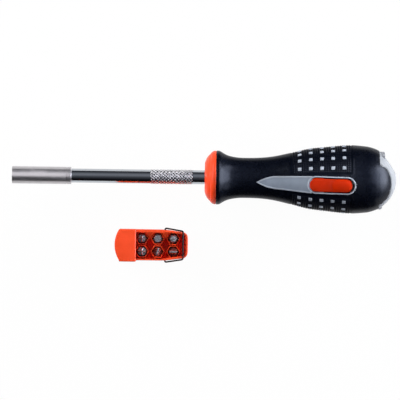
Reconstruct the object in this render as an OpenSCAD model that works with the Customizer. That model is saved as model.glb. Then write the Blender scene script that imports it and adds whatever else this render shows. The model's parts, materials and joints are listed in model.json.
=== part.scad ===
// Ratcheting screwdriver with a bit magazine, lying on a table.
// The tool's axis is +X, its origin is the mouth of the bit socket, and the table is level.

/* [Pose] */
// Turn of the tool about its own axis as it lies
roll_angle = 12; // [0:1:20]

/* [Bit holder] */
// Diameter of the bit holder
holder_d = 11; // [10.4:0.1:12.5]
// Length of the bit holder
holder_len = 37.8; // [34:0.1:44]
// Chamfer on the ends of the bit holder
holder_chamfer = 0.6; // [0.3:0.1:0.9]
// Width across the flats of a bit
bit_af = 6.35; // [6:0.05:6.6]
// Depth of the bit socket
socket_depth = 13; // [11:0.5:15]
// Diameter of the bit magnet
magnet_d = 5.2; // [4.4:0.1:5.6]
// Length of the bit magnet
magnet_len = 5; // [3:0.5:7]
// Distance of the holder's turned groove from its rear end
holder_groove_at = 2.6; // [2:0.1:4]
// Width of the holder's turned groove
holder_groove_w = 0.5; // [0.3:0.1:0.8]

/* [Shaft] */
// Diameter of the shaft
shaft_d = 9; // [8:0.1:9.6]
// Length of shaft that shows between the bit holder and the collar
shaft_show = 85; // [70:0.5:110]
// Length of the knurled band
knurl_len = 26.7; // [20:0.1:32]
// Length of plain shaft between the knurl and the collar
knurl_gap = 7.8; // [4:0.1:14]
// Height of the knurl above the shaft
knurl_rise = 0.15; // [0.05:0.05:0.3]
// Step in from the gear's journal to the shaft's tail
tail_step = 0.4; // [0.3:0.05:0.8]

/* [Collar] */
// Length of the collar
collar_len = 7.2; // [7:0.1:10]
// Distance from the collar's rim in to its flat front face
collar_bevel = 7.5; // [6:0.1:9]
// Distance from the ratchet housing out to the collar's rim
collar_over = 7.2; // [6.8:0.1:8]
// Thickness of the collar's front wall
collar_wall = 2; // [1.6:0.1:2.4]
// Gap between the collar and the grip
collar_gap = 0.8; // [0.6:0.1:1]
// Angle that the collar turns to each side
shift_angle = 15; // [12:1:15]

/* [Ratchet] */
// Number of gear teeth, a multiple of 12
gear_teeth = 24; // [24]
// Depth of the gear teeth
tooth_depth = 1; // [0.8:0.05:1.1]
// Length of the gear
gear_len = 4; // [3.6:0.1:5]
// Radius of the ratchet housing
housing_r = 9.9; // [9.8:0.05:10.2]
// Thickness of the housing's cover
cover_t = 1.2; // [1:0.1:1.6]
// Thickness of the housing's back wall
back_wall_t = 4.5; // [3.5:0.1:6]
// Distance of the pawl pins below the housing's surface
pawl_inset = 2.2; // [2.1:0.05:2.4]
// Distance from the pawl pins in to the gear's tips
pawl_reach = 1.7; // [1.6:0.05:1.8]
// Thickness of the gear's rim below its teeth
gear_rim = 1.4; // [1.2:0.05:1.8]
// Diameter of a pawl pin
pawl_pin_d = 1.1; // [0.9:0.05:1.2]
// Diameter of a cover screw
screw_d = 1.4; // [1.2:0.1:1.6]
// Diameter of a shift plunger
plunger_d = 1.6; // [1.4:0.1:1.8]
// Length of a shift plunger
plunger_len = 2.3; // [2:0.1:2.6]
// Diameter of the detent ball
detent_d = 2.4; // [2:0.1:2.6]
// Thickness of the thrust washer
washer_t = 0.8; // [0.6:0.1:1.2]
// Thickness of the circlip
circlip_t = 0.8; // [0.6:0.1:1]
// Length of the rear bush
bush_len = 7.5; // [6:0.5:10]
// Wall of the rear bush
bush_wall = 1.8; // [1.4:0.1:2.2]

/* [Grip] */
// Length of the grip
grip_len = 102.8; // [100:0.1:108]
// Thickness of the soft skin
skin_t = 1.8; // [1.6:0.1:2]
// Distance from the ratchet housing out to the flare behind the collar
flare_over = 7.3; // [7:0.1:8]
// Distance from the ratchet housing out to the throat behind the flare
throat_over = 5.3; // [5:0.1:5.8]
// Radius of the neck, where the fingers close
neck_r = 12.8; // [12.4:0.1:13.4]
// Radius of the shank behind the neck
shank_r = 13.55; // [13.2:0.05:14.2]
// Radius of the shoulder
shoulder_r = 16.7; // [16:0.1:17.2]
// Radius of the swell
swell_r = 19.2; // [18.8:0.1:19.8]
// Radius of the palm
palm_r = 20.4; // [20:0.1:21]
// Radius of the belly, the widest place
belly_r = 21.8; // [21.2:0.1:23]
// Radius of the heel
heel_r = 21; // [20.4:0.1:21.8]
// Radius of the grip's rear end
tail_r = 18.65; // [18.4:0.05:19.2]

/* [Studs] */
// Side of a square stud
stud_side = 2.75; // [2.2:0.05:3.2]
// Height of a stud
stud_depth = 1; // [0.8:0.1:1.3]
// Height of a stud above the soft skin
stud_rise = 0.15; // [0.05:0.05:0.3]
// Pitch of the studs along the grip
stud_pitch = 7.14; // [6.6:0.02:7.6]
// Distance of the first stud from the front of the grip
stud_from = 52.9; // [50:0.1:56]
// Number of studs along the grip
stud_columns = 5; // [3:1:5]
// Angle between the plate's middle and the first row of studs
stud_first_angle = 31.6; // [28:0.2:33]
// Angle between rows of studs
stud_row_angle = 19.46; // [19:0.02:20.5]
// Number of rows of studs on each side of the plate
stud_rows = 8; // [3:1:8]

/* [Side plate] */
// Place of the plate's point, as a share of the grip's length
plate_start_share = 0.245; // [0.21:0.001:0.27]
// Length of the plate, as a share of the grip's length
plate_share = 0.6226; // [0.6:0.0002:0.66]
// Length of the plate's pointed end
plate_point_len = 13.8; // [10:0.1:18]
// Half width of the plate behind its point
plate_half_w = 4.8; // [4.4:0.1:5.2]
// Half width of the plate's rear end
plate_end_half_w = 5.8; // [5.7:0.05:6.2]
// Height of the plate's rim above the soft skin
plate_rise = 0.3; // [0.1:0.05:0.5]
// Width of the plate's rim
plate_rim = 0.9; // [0.6:0.1:1.2]
// Depth of the plate's field below its rim
plate_sink = 0.5; // [0.3:0.1:0.8]

/* [Release button] */
// Place of the button's front end, as a share of the grip's length
button_start_share = 0.5758; // [0.564:0.0002:0.584]
// Length of the button, as a share of the grip's length
button_share = 0.2676; // [0.243:0.0002:0.273]
// Half width of the button
button_half_w = 4.4; // [4:0.05:4.5]
// Length of the button's low front part
button_front_len = 15.5; // [12:0.1:18]
// Height of the button's front part above the soft skin
button_front_rise = 0.2; // [0:0.05:0.4]
// Height of the thumb pad above the soft skin
button_pad_rise = 1; // [0.7:0.05:1.4]
// Thickness of the button's body at the pin
button_body_t = 3.5; // [3.2:0.1:3.8]
// Distance of the button pin from the button's front end
button_pin_at = 10; // [9:0.1:11]
// Diameter of the button pin
button_pin_d = 1.5; // [1.2:0.1:1.6]
// Length of the button pin
button_pin_len = 13; // [12:0.5:14]
// Gap behind the button in its slot
button_rear_gap = 1.15; // [1:0.05:1.4]
// Distance of the button spring from the button's rear end
button_spring_from = 6.5; // [6:0.1:7]
// Radius of the button spring's coil
button_spring_r = 1.7; // [1.4:0.1:1.9]
// Reach of the latch finger into the bay
finger_reach = 0.8; // [0.5:0.1:1]

/* [End cap] */
// Length of the end cap
cap_len = 11.1; // [10.6:0.1:12]
// Gap between the end cap and the grip
cap_gap = 0.3; // [0.25:0.05:0.6]
// Radius of the dome
dome_r = 20.8; // [20.4:0.1:21.4]
// Thickness of the dome
dome_wall = 3.4; // [3.2:0.1:3.8]
// Thickness of the soft pads on the dome
pad_t = 1.2; // [1:0.1:1.4]
// Half width of the grey band between the pads, where it meets the grip
band_half_w = 5.7; // [5.4:0.1:7]
// Slope of the edge of the pads
pad_edge_angle = 33.5; // [30:0.5:37]
// Step from the dome's edge in to the thumb ledge
ledge_step = 0.5; // [0.2:0.1:0.8]
// Length of the thumb ledge
ledge_len = 3.4; // [3:0.1:4]
// Half width of the thumb ledge
ledge_half_w = 6; // [4:0.5:7]
// Width of the thumb ledge, in to the facet that it stands on
ledge_depth = 3.9; // [3.4:0.1:4.4]
// Step from the dome's edge in to the cap's hinge
hinge_step = 1.4; // [1.2:0.05:1.6]
// Radius of a hinge knuckle
knuckle_r = 1.5; // [1.4:0.05:1.6]
// Diameter of the hinge pin
hinge_pin_d = 1.4; // [1.2:0.1:1.6]
// Width of the hinge
hinge_w = 8.4; // [7.5:0.1:9]

/* [Magazine] */
// Length of the magazine
mag_len = 46.6; // [46:0.1:47]
// Width of the magazine
mag_w = 19.7; // [19.4:0.1:20]
// Distance of the magazine's left end from the tool's tip
mag_from = 66; // [50:0.5:75]
// Distance of the magazine's middle from the tool's axis
mag_aside = 43.6; // [40:0.1:60]
// Height of the magazine's walls
mag_wall_h = 24.7; // [23:0.1:25]
// Height of the magazine's head
mag_head_h = 26.2; // [26:0.1:26.4]
// Distance of the first bits from the magazine's head
mag_head_gap = 3.9; // [3.8:0.05:4.6]
// Radius of the head's curved end
mag_end_r = 18.5; // [15:0.5:25]
// Thickness of the magazine's walls
mag_wall = 2.3; // [2:0.1:2.4]
// Thickness of the magazine's floor
mag_floor = 1.2; // [1:0.1:1.4]
// Depth of the rim above the pockets
mag_rim = 3; // [2:0.1:4]
// Length of the tapered end
mag_taper_len = 14.5; // [13.5:0.1:15]
// Narrowing of the tapered end at each side
mag_taper = 1.9; // [1.6:0.1:2.1]
// Pitch of the bits along the magazine
bit_pitch = 10; // [9.6:0.05:10.2]
// Pitch of the bits across the magazine
bit_row_pitch = 8.3; // [8:0.05:8.4]
// Distance of the last bits from the magazine's tapered end
bit_last = 9.2; // [8.8:0.1:9.6]
// Diameter of the bail's wire
bail_d = 1; // [0.8:0.05:1.2]
// Reach of the bail from its pivots
bail_reach = 11.5; // [11.2:0.1:11.8]
// Distance of the bail's pivots below the walls' rim
bail_drop = 2.5; // [2.2:0.1:2.8]

/* [Bits] */
// Length of a bit
bit_len = 25; // [24.6:0.1:25.2]
// Length of a bit's working end
bit_tip_len = 8; // [6:0.1:9]
// Length of the ground neck above a bit's hexagon
bit_neck_len = 1.5; // [1:0.1:3]
// Diameter of the small cross bit's end
cross_small_d = 4.4; // [3.6:0.1:4.8]
// Diameter of the large cross bit's end
cross_large_d = 5.2; // [4.6:0.1:5.3]
// Width across the flats of the hexagon bit's end
key_af = 4; // [2.5:0.5:5]
// Width of the small blade
blade_small_w = 4.5; // [3.5:0.1:5]
// Width of the large blade
blade_large_w = 5.3; // [5:0.1:5.5]
// Thickness of the large blade
blade_t = 1; // [0.8:0.05:1.2]
// Diameter over the lobes of the six-lobe bit
lobe_d = 4.3; // [3.3:0.1:4.6]

/* [Fits] */
// Radial clearance of a running fit
run_gap = 0.05; // [0.02:0.01:0.08]
// Radial clearance between pieces that are pressed or moulded together
press_gap = 0.02; // [0.01:0.01:0.04]
// Clearance round a bit in a hexagonal hole
hex_gap = 0.05; // [0.03:0.01:0.1]
// Clearance between pieces that move past each other
free_gap = 0.3; // [0.25:0.05:0.35]

/* [Hidden] */
$fn = 48;
eps = 0.5;

// Places along the tool's axis, from the tip to the dome
collar_x = holder_len + shaft_show;
collar_r = housing_r + collar_over;
collar_front_r = collar_r - collar_bevel;
grip_x = collar_x + collar_len + collar_gap;
grip_end = grip_x + grip_len;
cap_x = grip_end + cap_gap;
dome_x = cap_x + cap_len - dome_r;
knurl_end = collar_x - knurl_gap;
cover_x = collar_x + collar_wall + 0.2;
housing_x = cover_x + cover_t;
gear_x = housing_x + 0.2;
washer_x = gear_x + gear_len + 0.2;
back_wall_x = washer_x + washer_t + 0.1;
housing_end = back_wall_x + back_wall_t;
circlip_x = housing_end + 0.2;
bush_x = circlip_x + circlip_t + 1.5;
bush_end = bush_x + bush_len;
shaft_end = bush_end - 1;

// Grip stations: share of the grip's length, then radius
flare_r = housing_r + flare_over;
throat_r = housing_r + throat_over;
station_shares = [
    [0, flare_r],
    [0.0136, 0.991 * flare_r],
    [0.0438, throat_r],
    [0.0807, 0.491 * (throat_r + neck_r)],
    [0.1576, neck_r],
    [0.3171, shank_r],
    [0.466, shoulder_r],
    [0.5652, swell_r],
    [0.6644, palm_r],
    [0.8132, belly_r],
    [0.9261, heel_r],
    [1, tail_r]
];
stations = [for (s = station_shares) [grip_x + s[0] * grip_len, s[1]]];
last_station = len(stations) - 1;
contour_steps = 44;

// Smooth curve through the stations
function station_slope(i) = let(
    a = stations[max(i - 1, 0)],
    b = stations[min(i + 1, last_station)]) (b[1] - a[1]) / (b[0] - a[0]);
function station_before(x, i = 0) =
    (i >= last_station - 1 || x < stations[i + 1][0]) ? i : station_before(x, i + 1);
function grip_r(x) = let(
    i = station_before(x),
    a = stations[i],
    b = stations[i + 1],
    h = b[0] - a[0],
    t = (x - a[0]) / h)
    a[1] * (1 + 2 * t) * pow(1 - t, 2) + station_slope(i) * h * t * pow(1 - t, 2)
    + b[1] * t * t * (3 - 2 * t) + station_slope(i + 1) * h * t * t * (t - 1);
function grip_slope(x) = grip_r(x + 0.5) - grip_r(x - 0.5);
function contour(x0, x1, rise) = [for (k = [0 : contour_steps])
    let(x = x0 + (x1 - x0) * k / contour_steps) [grip_r(x) + rise, x]];
function backwards(list) = [for (k = [len(list) - 1 : -1 : 0]) list[k]];
function across_corners(af) = af / cos(30);
function polar(r, a) = [r * cos(a), r * sin(a)];

// Button, plate and bay
button_x = grip_x + button_start_share * grip_len;
button_len = button_share * grip_len;
button_end = button_x + button_len;
button_pin_x = button_x + button_pin_at;
bay_half_h = mag_w / 2 + free_gap;
bay_half_w = mag_head_h / 2 + free_gap;
bay_x = grip_end + 1 - mag_len;
pocket_floor = bay_half_h + 2;
button_floor = pocket_floor + 2.6;
button_pin_h = button_floor + button_body_t / 2;
slot_half_w = button_half_w + free_gap;
spring_x = button_end - button_spring_from;
spring_seat = bay_half_h + 1;
spring_top = button_floor + 1.5;
plate_x = grip_x + plate_start_share * grip_len;
plate_len = plate_share * grip_len;
plate_end = plate_x + plate_len;
bezel_x = button_x - 1.5 + plate_end_half_w;
core_drop = skin_t + press_gap;
hinge_x = cap_x + 0.7;
cap_face_r = sqrt(pow(dome_r, 2) - pow(dome_r - cap_len, 2));
ledge_r = cap_face_r - ledge_step;
facet_r = ledge_r - ledge_depth;
hinge_r = cap_face_r - hinge_step;

// Magazine
table_z = -belly_r;
mag_rim_z = table_z + mag_wall_h;
mag_half_w = mag_w / 2;
taper_x = mag_from + mag_len - mag_taper_len;
mag_end = mag_from + mag_len;
mag_corner = 3;
bail_pivot_x = taper_x;
bail_pivot_z = mag_rim_z - bail_drop;
bail_half_w = mag_half_w + bail_d / 2 + 0.55;
bail_bar_z = mag_rim_z + bail_d / 2 + 0.1;
mag_head_len = mag_len - bit_last - 2 * bit_pitch - mag_head_gap;
first_bit_x = mag_end - bit_last - 2 * bit_pitch;
bit_seat_z = table_z + mag_floor + 0.05;
pocket_af = bit_af + 2 * hex_gap + 0.15;

// Ratchet gear and pawls, from the housing inwards
pawl_pivot_r = housing_r - pawl_inset;
gear_tip_r = pawl_pivot_r - pawl_reach;
journal_d = 2 * (gear_tip_r - tooth_depth - gear_rim);
tail_d = journal_d - 2 * tail_step;
tooth_angle = 360 / gear_teeth;
toe_angle = 1.5 * tooth_angle;
toe_reach = gear_tip_r - 0.22;
toe_root = gear_tip_r + 0.7;
pawl_half = toe_root * sin(toe_angle) + 0.84;
plunger_x = gear_x + gear_len / 2;
plunger_from = pawl_pivot_r + 1.45;
detent_r = housing_r + 2.1;
detent_x = grip_x + 0.2;
detent_spring_len = 3;

module rolled() {
    rotate([roll_angle, 0, 0]) children();
}

module rod_x(r, x0, x1) {
    translate([x0, 0, 0]) rotate([0, 90, 0]) cylinder(r = r, h = x1 - x0);
}

// Solid of revolution about the tool's axis from [radius, distance] points
module lathe(points) {
    rotate([0, 90, 0]) rotate_extrude() polygon(points);
}

module under_skin(x0, x1, rise) {
    lathe(concat([[0, x0]], contour(x0, x1, rise), [[0, x1]]));
}

module skin_layer(x0, x1, low, high) {
    lathe(concat(contour(x0, x1, high), backwards(contour(x0, x1, low))));
}

// Round-ended block along the tool, from height z0 up
module stadium(x0, x1, r, z0) {
    translate([0, 0, z0]) {
        translate([x0, 0, 0]) cylinder(r = r, h = 2 * belly_r);
        translate([x1, 0, 0]) cylinder(r = r, h = 2 * belly_r);
        translate([x0, -r, 0]) cube([x1 - x0, 2 * r, 2 * belly_r]);
    }
}

module hex_bar(af, len) {
    cylinder(d = across_corners(af), h = len, $fn = 6);
}

// Rod between two points that runs on past each of them
module rod_between(a, b, r, past) {
    d = b - a;
    flat = norm([d[0], d[1]]);
    translate(a) rotate([0, atan2(flat, d[2]), atan2(d[1], d[0])])
        translate([0, 0, -past]) cylinder(r = r, h = norm(d) + 2 * past);
}

// Coil spring along +Z as one swept tube
module coil(r, wire_r, height, turns) {
    sides = 6;
    rings = ceil(turns * 8);
    rise = (height - 2 * wire_r) / (360 * turns);
    ring_points = [for (k = [0 : rings], s = [0 : sides - 1])
        let(a = 360 * turns * k / rings, f = 360 * s / sides, q = r + wire_r * cos(f))
        [q * cos(a), q * sin(a), wire_r + rise * a + wire_r * sin(f)]];
    walls = [for (k = [0 : rings - 1], s = [0 : sides - 1], half = [0, 1])
        let(a = k * sides + s, b = k * sides + (s + 1) % sides)
        half == 0 ? [a, b, b + sides] : [a, b + sides, a + sides]];
    start_cap = [for (s = [1 : sides - 2]) [0, s + 1, s]];
    end_cap_at = rings * sides;
    finish_cap = [for (s = [1 : sides - 2]) [end_cap_at, end_cap_at + s, end_cap_at + s + 1]];
    polyhedron(ring_points, concat(walls, start_cap, finish_cap));
}

// Bit holder and magnet
module bit_holder() {
    r = holder_d / 2;
    g = holder_len - holder_groove_at;
    color("silver") rolled() difference() {
        lathe([[0, 0], [r - holder_chamfer, 0], [r, holder_chamfer], [r, g - holder_groove_w],
            [r - 0.3, g - holder_groove_w], [r - 0.3, g], [r, g], [r, holder_len - holder_chamfer],
            [r - holder_chamfer, holder_len], [0, holder_len]]);
        translate([-eps, 0, 0]) rotate([0, 90, 0]) hex_bar(bit_af + 2 * hex_gap, socket_depth + eps);
        rod_x(magnet_d / 2 + press_gap, socket_depth - eps, socket_depth + magnet_len);
        rod_x(shaft_d / 2 + press_gap, socket_depth + magnet_len + 1, holder_len + eps);
    }
}

module bit_magnet() {
    color("dimgray") rolled() rod_x(magnet_d / 2, socket_depth + 0.1, socket_depth + magnet_len);
}

// Shaft with its knurled band, gear journal and tail
module shaft() {
    r = shaft_d / 2;
    journal_r = journal_d / 2;
    end_r = tail_d / 2;
    groove_r = end_r - 0.5;
    shoulder_x = cover_x - 0.1;
    color("lightslategray") rolled() lathe([[0, socket_depth + magnet_len + 1],
        [r, socket_depth + magnet_len + 1], [r, knurl_end - knurl_len],
        [r + knurl_rise, knurl_end - knurl_len + knurl_rise],
        [r + knurl_rise, knurl_end - knurl_rise], [r, knurl_end], [r, shoulder_x],
        [journal_r, shoulder_x], [journal_r, housing_end], [end_r, housing_end],
        [end_r, circlip_x - run_gap], [groove_r, circlip_x - run_gap],
        [groove_r, circlip_x + circlip_t + run_gap], [end_r, circlip_x + circlip_t + run_gap],
        [end_r, shaft_end - 0.5], [end_r - 0.5, shaft_end], [0, shaft_end]]);
}

module ratchet_gear() {
    root_r = gear_tip_r - tooth_depth;
    tip_half = 1.4;
    root_half = tooth_angle / 2 - 1.7;
    teeth = [for (k = [0 : gear_teeth - 1], p = [[root_r, -root_half], [gear_tip_r, -tip_half],
        [gear_tip_r, tip_half], [root_r, root_half]]) polar(p[0], k * tooth_angle + p[1])];
    color("gray") rolled() translate([gear_x, 0, 0]) rotate([0, 90, 0]) difference() {
        linear_extrude(gear_len) polygon(teeth);
        translate([0, 0, -eps]) cylinder(d = journal_d + 2 * press_gap, h = gear_len + 2 * eps);
    }
}

module thrust_washer() {
    color("goldenrod") rolled() difference() {
        rod_x(gear_tip_r + 0.1, washer_x, washer_x + washer_t);
        rod_x(journal_d / 2 + run_gap, washer_x - eps, washer_x + washer_t + eps);
    }
}

module shaft_circlip() {
    groove_r = tail_d / 2 - 0.5;
    color("darkslategray") rolled() difference() {
        rod_x(tail_d / 2 + 1.3, circlip_x, circlip_x + circlip_t);
        rod_x(groove_r + press_gap, circlip_x - eps, circlip_x + circlip_t + eps);
        translate([circlip_x - eps, -groove_r * 0.7, -tail_d])
            cube([circlip_t + 2 * eps, groove_r * 1.4, tail_d]);
    }
}

// Collar that selects the ratchet's direction, and the plungers in it
module selector_ring() {
    x1 = collar_x + collar_len;
    track_r = detent_d / 2 + 0.1;
    bowl = [for (k = [0 : 10])
        [collar_front_r + collar_bevel * sin(9 * k), collar_x + 0.3 + (collar_len - 0.9) * k / 10]];
    color("orangered") rolled() difference() {
        lathe(concat([[0, collar_x], [collar_front_r - 0.3, collar_x]], bowl,
            [[collar_r, x1 - 0.3], [collar_r - 0.3, x1], [0, x1]]));
        rod_x(shaft_d / 2 + run_gap, collar_x - eps, x1);
        rod_x(housing_r + run_gap, collar_x + collar_wall, x1 + eps);
        lathe([[detent_r - track_r, x1 - 0.25], [detent_r + track_r, x1 - 0.25],
            [detent_r + track_r, x1 + eps], [detent_r - track_r, x1 + eps]]);
        for (a = [-shift_angle, 0, shift_angle])
            rotate([a, 0, 0]) translate([detent_x, detent_r, 0]) sphere(r = detent_d / 2 + 0.1);
        for (side = [0, 180])
            rotate([side, 0, 0]) translate([plunger_x, 0, housing_r])
                cylinder(d = plunger_d + 2 * run_gap, h = plunger_from + plunger_len + 2.4 - housing_r);
    }
}

module shift_plungers() {
    tip_r = plunger_d / 2;
    color("silver") rolled() for (side = [0, 180])
        rotate([side, 0, 0]) translate([plunger_x, 0, plunger_from]) {
            translate([0, 0, tip_r]) sphere(r = tip_r);
            translate([0, 0, tip_r]) cylinder(r = tip_r, h = plunger_len - tip_r);
        }
}

module plunger_springs() {
    wire_r = 0.12;
    color("darkgray") rolled() for (side = [0, 180])
        rotate([side, 0, 0]) translate([plunger_x, 0, plunger_from + plunger_len + 0.05])
            coil(plunger_d / 2 - wire_r - 0.05, wire_r, 2.3, 3);
}

// Rocker pawl with a toe on each side, its pin along the tool
module pawl() {
    tip_half = 0.1;
    root_half = 0.35;
    in_a = polar(toe_root, 90 - toe_angle) + root_half * polar(1, 180 - toe_angle);
    out_a = polar(toe_root, 90 - toe_angle) - root_half * polar(1, 180 - toe_angle);
    tip_a = polar(toe_reach, 90 - toe_angle) - tip_half * polar(1, 180 - toe_angle);
    tip_b = polar(toe_reach, 90 - toe_angle) + tip_half * polar(1, 180 - toe_angle);
    right = [[0, gear_tip_r + 0.6], in_a, tip_b, tip_a, out_a, [pawl_half, pawl_pivot_r - 0.8],
        [pawl_half - 0.2, pawl_pivot_r - 0.1], [pawl_pin_d / 2 + 0.65, pawl_pivot_r + 0.9]];
    left = [for (p = backwards(right)) if (p[0] > 0) [-p[0], p[1]]];
    translate([gear_x + 0.1, 0, 0]) rotate([90, 0, 90]) difference() {
        linear_extrude(gear_len - 0.2) polygon(concat(right, left));
        translate([0, pawl_pivot_r, -eps]) cylinder(d = pawl_pin_d + 2 * run_gap, h = gear_len + eps);
    }
}

module pawl_upper() {
    color("slategray") rolled() pawl();
}

module pawl_lower() {
    color("slategray") rolled() rotate([180, 0, 0]) pawl();
}

// Ratchet housing: a cup with pockets for the pawls and windows for the plungers
module ratchet_housing() {
    pocket_r = pawl_pivot_r + 1.4;
    pocket_half = pawl_half + 1.6;
    window_half = (housing_r + 0.5) * sin(shift_angle) + plunger_d / 2 + free_gap;
    color("darkgray") rolled() difference() {
        rod_x(housing_r, housing_x, housing_end);
        rod_x(gear_tip_r + free_gap, housing_x - eps, back_wall_x);
        rod_x(journal_d / 2 + run_gap, housing_x, housing_end + eps);
        intersection() {
            rod_x(pocket_r, housing_x - eps, washer_x);
            translate([housing_x - eps, -pocket_half, -pocket_r])
                cube([washer_x - housing_x + eps, 2 * pocket_half, 2 * pocket_r]);
        }
        translate([plunger_x - plunger_d / 2 - free_gap, -window_half, -housing_r - eps])
            cube([plunger_d + 2 * free_gap, 2 * window_half, 2 * housing_r + 2 * eps]);
        for (side = [-1, 1])
            translate([0, 0, side * pawl_pivot_r])
                rod_x(pawl_pin_d / 2 + press_gap, washer_x - eps, back_wall_x + 1);
        for (side = [-1, 1])
            translate([0, side * (housing_r - 1.8), 0])
                rod_x(screw_d / 2 + press_gap, housing_x - eps, housing_x + 4);
    }
}

module housing_cover() {
    color("lightgray") rolled() difference() {
        rod_x(housing_r, cover_x, housing_x);
        rod_x(journal_d / 2 + run_gap, cover_x - eps, housing_x + eps);
        for (side = [-1, 1])
            translate([0, 0, side * pawl_pivot_r])
                rod_x(pawl_pin_d / 2 + press_gap, housing_x - 0.6, housing_x + eps);
        for (side = [-1, 1])
            translate([0, side * (housing_r - 1.8), 0]) {
                rod_x(screw_d / 2 + press_gap, cover_x - eps, housing_x + eps);
                rod_x(screw_d / 2 + 0.5 + press_gap, cover_x - eps, cover_x + 0.5);
            }
    }
}

module cover_screws() {
    color("silver") rolled() for (side = [-1, 1])
        translate([0, side * (housing_r - 1.8), 0]) difference() {
            union() {
                rod_x(screw_d / 2 + 0.5, cover_x + 0.05, cover_x + 0.5);
                rod_x(screw_d / 2, cover_x + 0.05, housing_x + 3.8);
            }
            translate([cover_x - eps, -screw_d, -0.15]) cube([0.3 + eps, 2 * screw_d, 0.3]);
        }
}

module pawl_pins() {
    color("silver") rolled() for (side = [-1, 1])
        translate([0, 0, side * pawl_pivot_r])
            rod_x(pawl_pin_d / 2, housing_x - 0.55, back_wall_x + 0.9);
}

// Detent that holds the collar in its three places
module detent_ball() {
    color("silver") rolled() translate([detent_x, detent_r, 0]) sphere(d = detent_d);
}

module detent_spring() {
    wire_r = 0.15;
    color("darkgray") rolled() translate([detent_x + detent_d / 2 + 0.05, detent_r, 0])
        rotate([0, 90, 0]) coil(detent_d / 2 - wire_r - 0.05, wire_r, detent_spring_len, 3.5);
}

module rear_bush() {
    color("peru") rolled() difference() {
        rod_x(tail_d / 2 + bush_wall, bush_x, bush_end);
        rod_x(tail_d / 2 + run_gap, bush_x - eps, bush_end + eps);
    }
}

// Space that the magazine slides into from the rear
module bay() {
    intersection() {
        translate([bay_x, -bay_half_w, -bay_half_h])
            cube([mag_len + 2, 2 * bay_half_w, 2 * bay_half_h]);
        under_skin(bay_x - eps, grip_end + eps, -skin_t - 0.6);
    }
}

// Hard core of the handle
module handle_core() {
    lug_x = grip_end - 3;
    lug_half = hinge_w / 2;
    color("darkslategray") rolled() difference() {
        union() {
            under_skin(grip_x, grip_end, -core_drop);
            translate([lug_x, -hinge_r - knuckle_r, -lug_half])
                cube([grip_end - lug_x, 2 * knuckle_r, 2 * lug_half]);
            translate([hinge_x, -hinge_r, -lug_half]) cylinder(r = knuckle_r, h = 2 * lug_half);
        }
        translate([hinge_x, -hinge_r, -lug_half / 2 + 0.1])
            cylinder(r = knuckle_r + free_gap, h = lug_half - 0.2);
        translate([hinge_x, -hinge_r, -hinge_w]) cylinder(d = hinge_pin_d + 2 * press_gap, h = 2 * hinge_w);
        rod_x(housing_r + press_gap, grip_x - eps, housing_end + 0.05);
        rod_x(tail_d / 2 + 2, housing_end - eps, bush_x);
        rod_x(tail_d / 2 + bush_wall + press_gap, bush_x - eps, bush_end + 0.05);
        translate([0, detent_r, 0])
            rod_x(detent_d / 2 + run_gap, grip_x - eps, detent_x + detent_d / 2 + detent_spring_len + 0.1);
        bay();
        stadium(button_x + button_half_w, button_end - button_half_w + button_rear_gap - free_gap,
            slot_half_w, pocket_floor);
        translate([button_x - 0.9, -2.4, bay_half_h - 1]) cube([4, 4.8, 4]);
        translate([button_pin_x, button_pin_len / 2 + 0.05, button_pin_h]) rotate([90, 0, 0])
            cylinder(d = button_pin_d + 2 * press_gap, h = button_pin_len + 0.1);
        translate([spring_x, 0, spring_seat]) cylinder(r = button_spring_r + 0.6, h = 3);
    }
}

// Plan of the side plate: a pointed front end, straight sides and a round rear end
function plate_outline(inset) = let(
    end_r = plate_end_half_w - inset,
    end_x = plate_end - plate_end_half_w,
    tip_x = plate_x + 1.4 * inset,
    reach = plate_point_len - 1.4 * inset,
    point = [for (k = [0 : 8]) let(t = k / 8) [tip_x + reach * t, (plate_half_w - inset) * t * (2 - t)]],
    round = [for (k = [0 : 10]) [end_x, 0] + polar(end_r, 90 - 9 * k)],
    upper = concat(point, round))
    concat(upper, [for (p = backwards(upper)) if (p[1] > 0.001) [p[0], -p[1]]]);

module plate_block(inset) {
    linear_extrude(2 * belly_r) polygon(plate_outline(inset));
}

module side_plate() {
    color("slategray") rolled() difference() {
        intersection() {
            plate_block(0);
            skin_layer(plate_x - 1, plate_end + 1, -skin_t + press_gap, plate_rise);
        }
        difference() {
            intersection() {
                plate_block(plate_rim);
                skin_layer(plate_x - 1, plate_end + 1, plate_rise - plate_sink, plate_rise + 2);
            }
            stadium(bezel_x, plate_end - plate_end_half_w, plate_end_half_w, 0);
        }
        stadium(button_x + button_half_w, button_end - button_half_w + button_rear_gap - free_gap,
            slot_half_w, 0);
    }
}

// One square stud, or its seat, standing on the grip's surface
module stud(x, angle, side, sink, rise) {
    rotate([angle, 0, 0]) translate([x, 0, grip_r(x)]) rotate([0, -atan(grip_slope(x)), 0])
        translate([-side / 2, -side / 2, -sink]) cube([side, side, sink + rise]);
}

module all_studs(side, sink, rise) {
    for (column = [0 : stud_columns - 1], row = [0 : stud_rows - 1], mirror_side = [-1, 1])
        stud(grip_x + stud_from + column * stud_pitch,
            mirror_side * (stud_first_angle + row * stud_row_angle), side, sink, rise);
}

// Soft skin of the grip
module grip_sleeve() {
    color("black") rolled() difference() {
        skin_layer(grip_x, grip_end, -skin_t, 0);
        plate_block(-press_gap);
        all_studs(stud_side + 2 * press_gap, stud_depth, 2);
        translate([grip_end - 3 - press_gap, -belly_r, -hinge_w / 2 - free_gap])
            cube([3 + eps, belly_r - hinge_r + knuckle_r + free_gap, hinge_w + 2 * free_gap]);
    }
}

module grip_studs() {
    color("lightslategray") rolled() all_studs(stud_side, stud_depth - press_gap, stud_rise);
}

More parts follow.
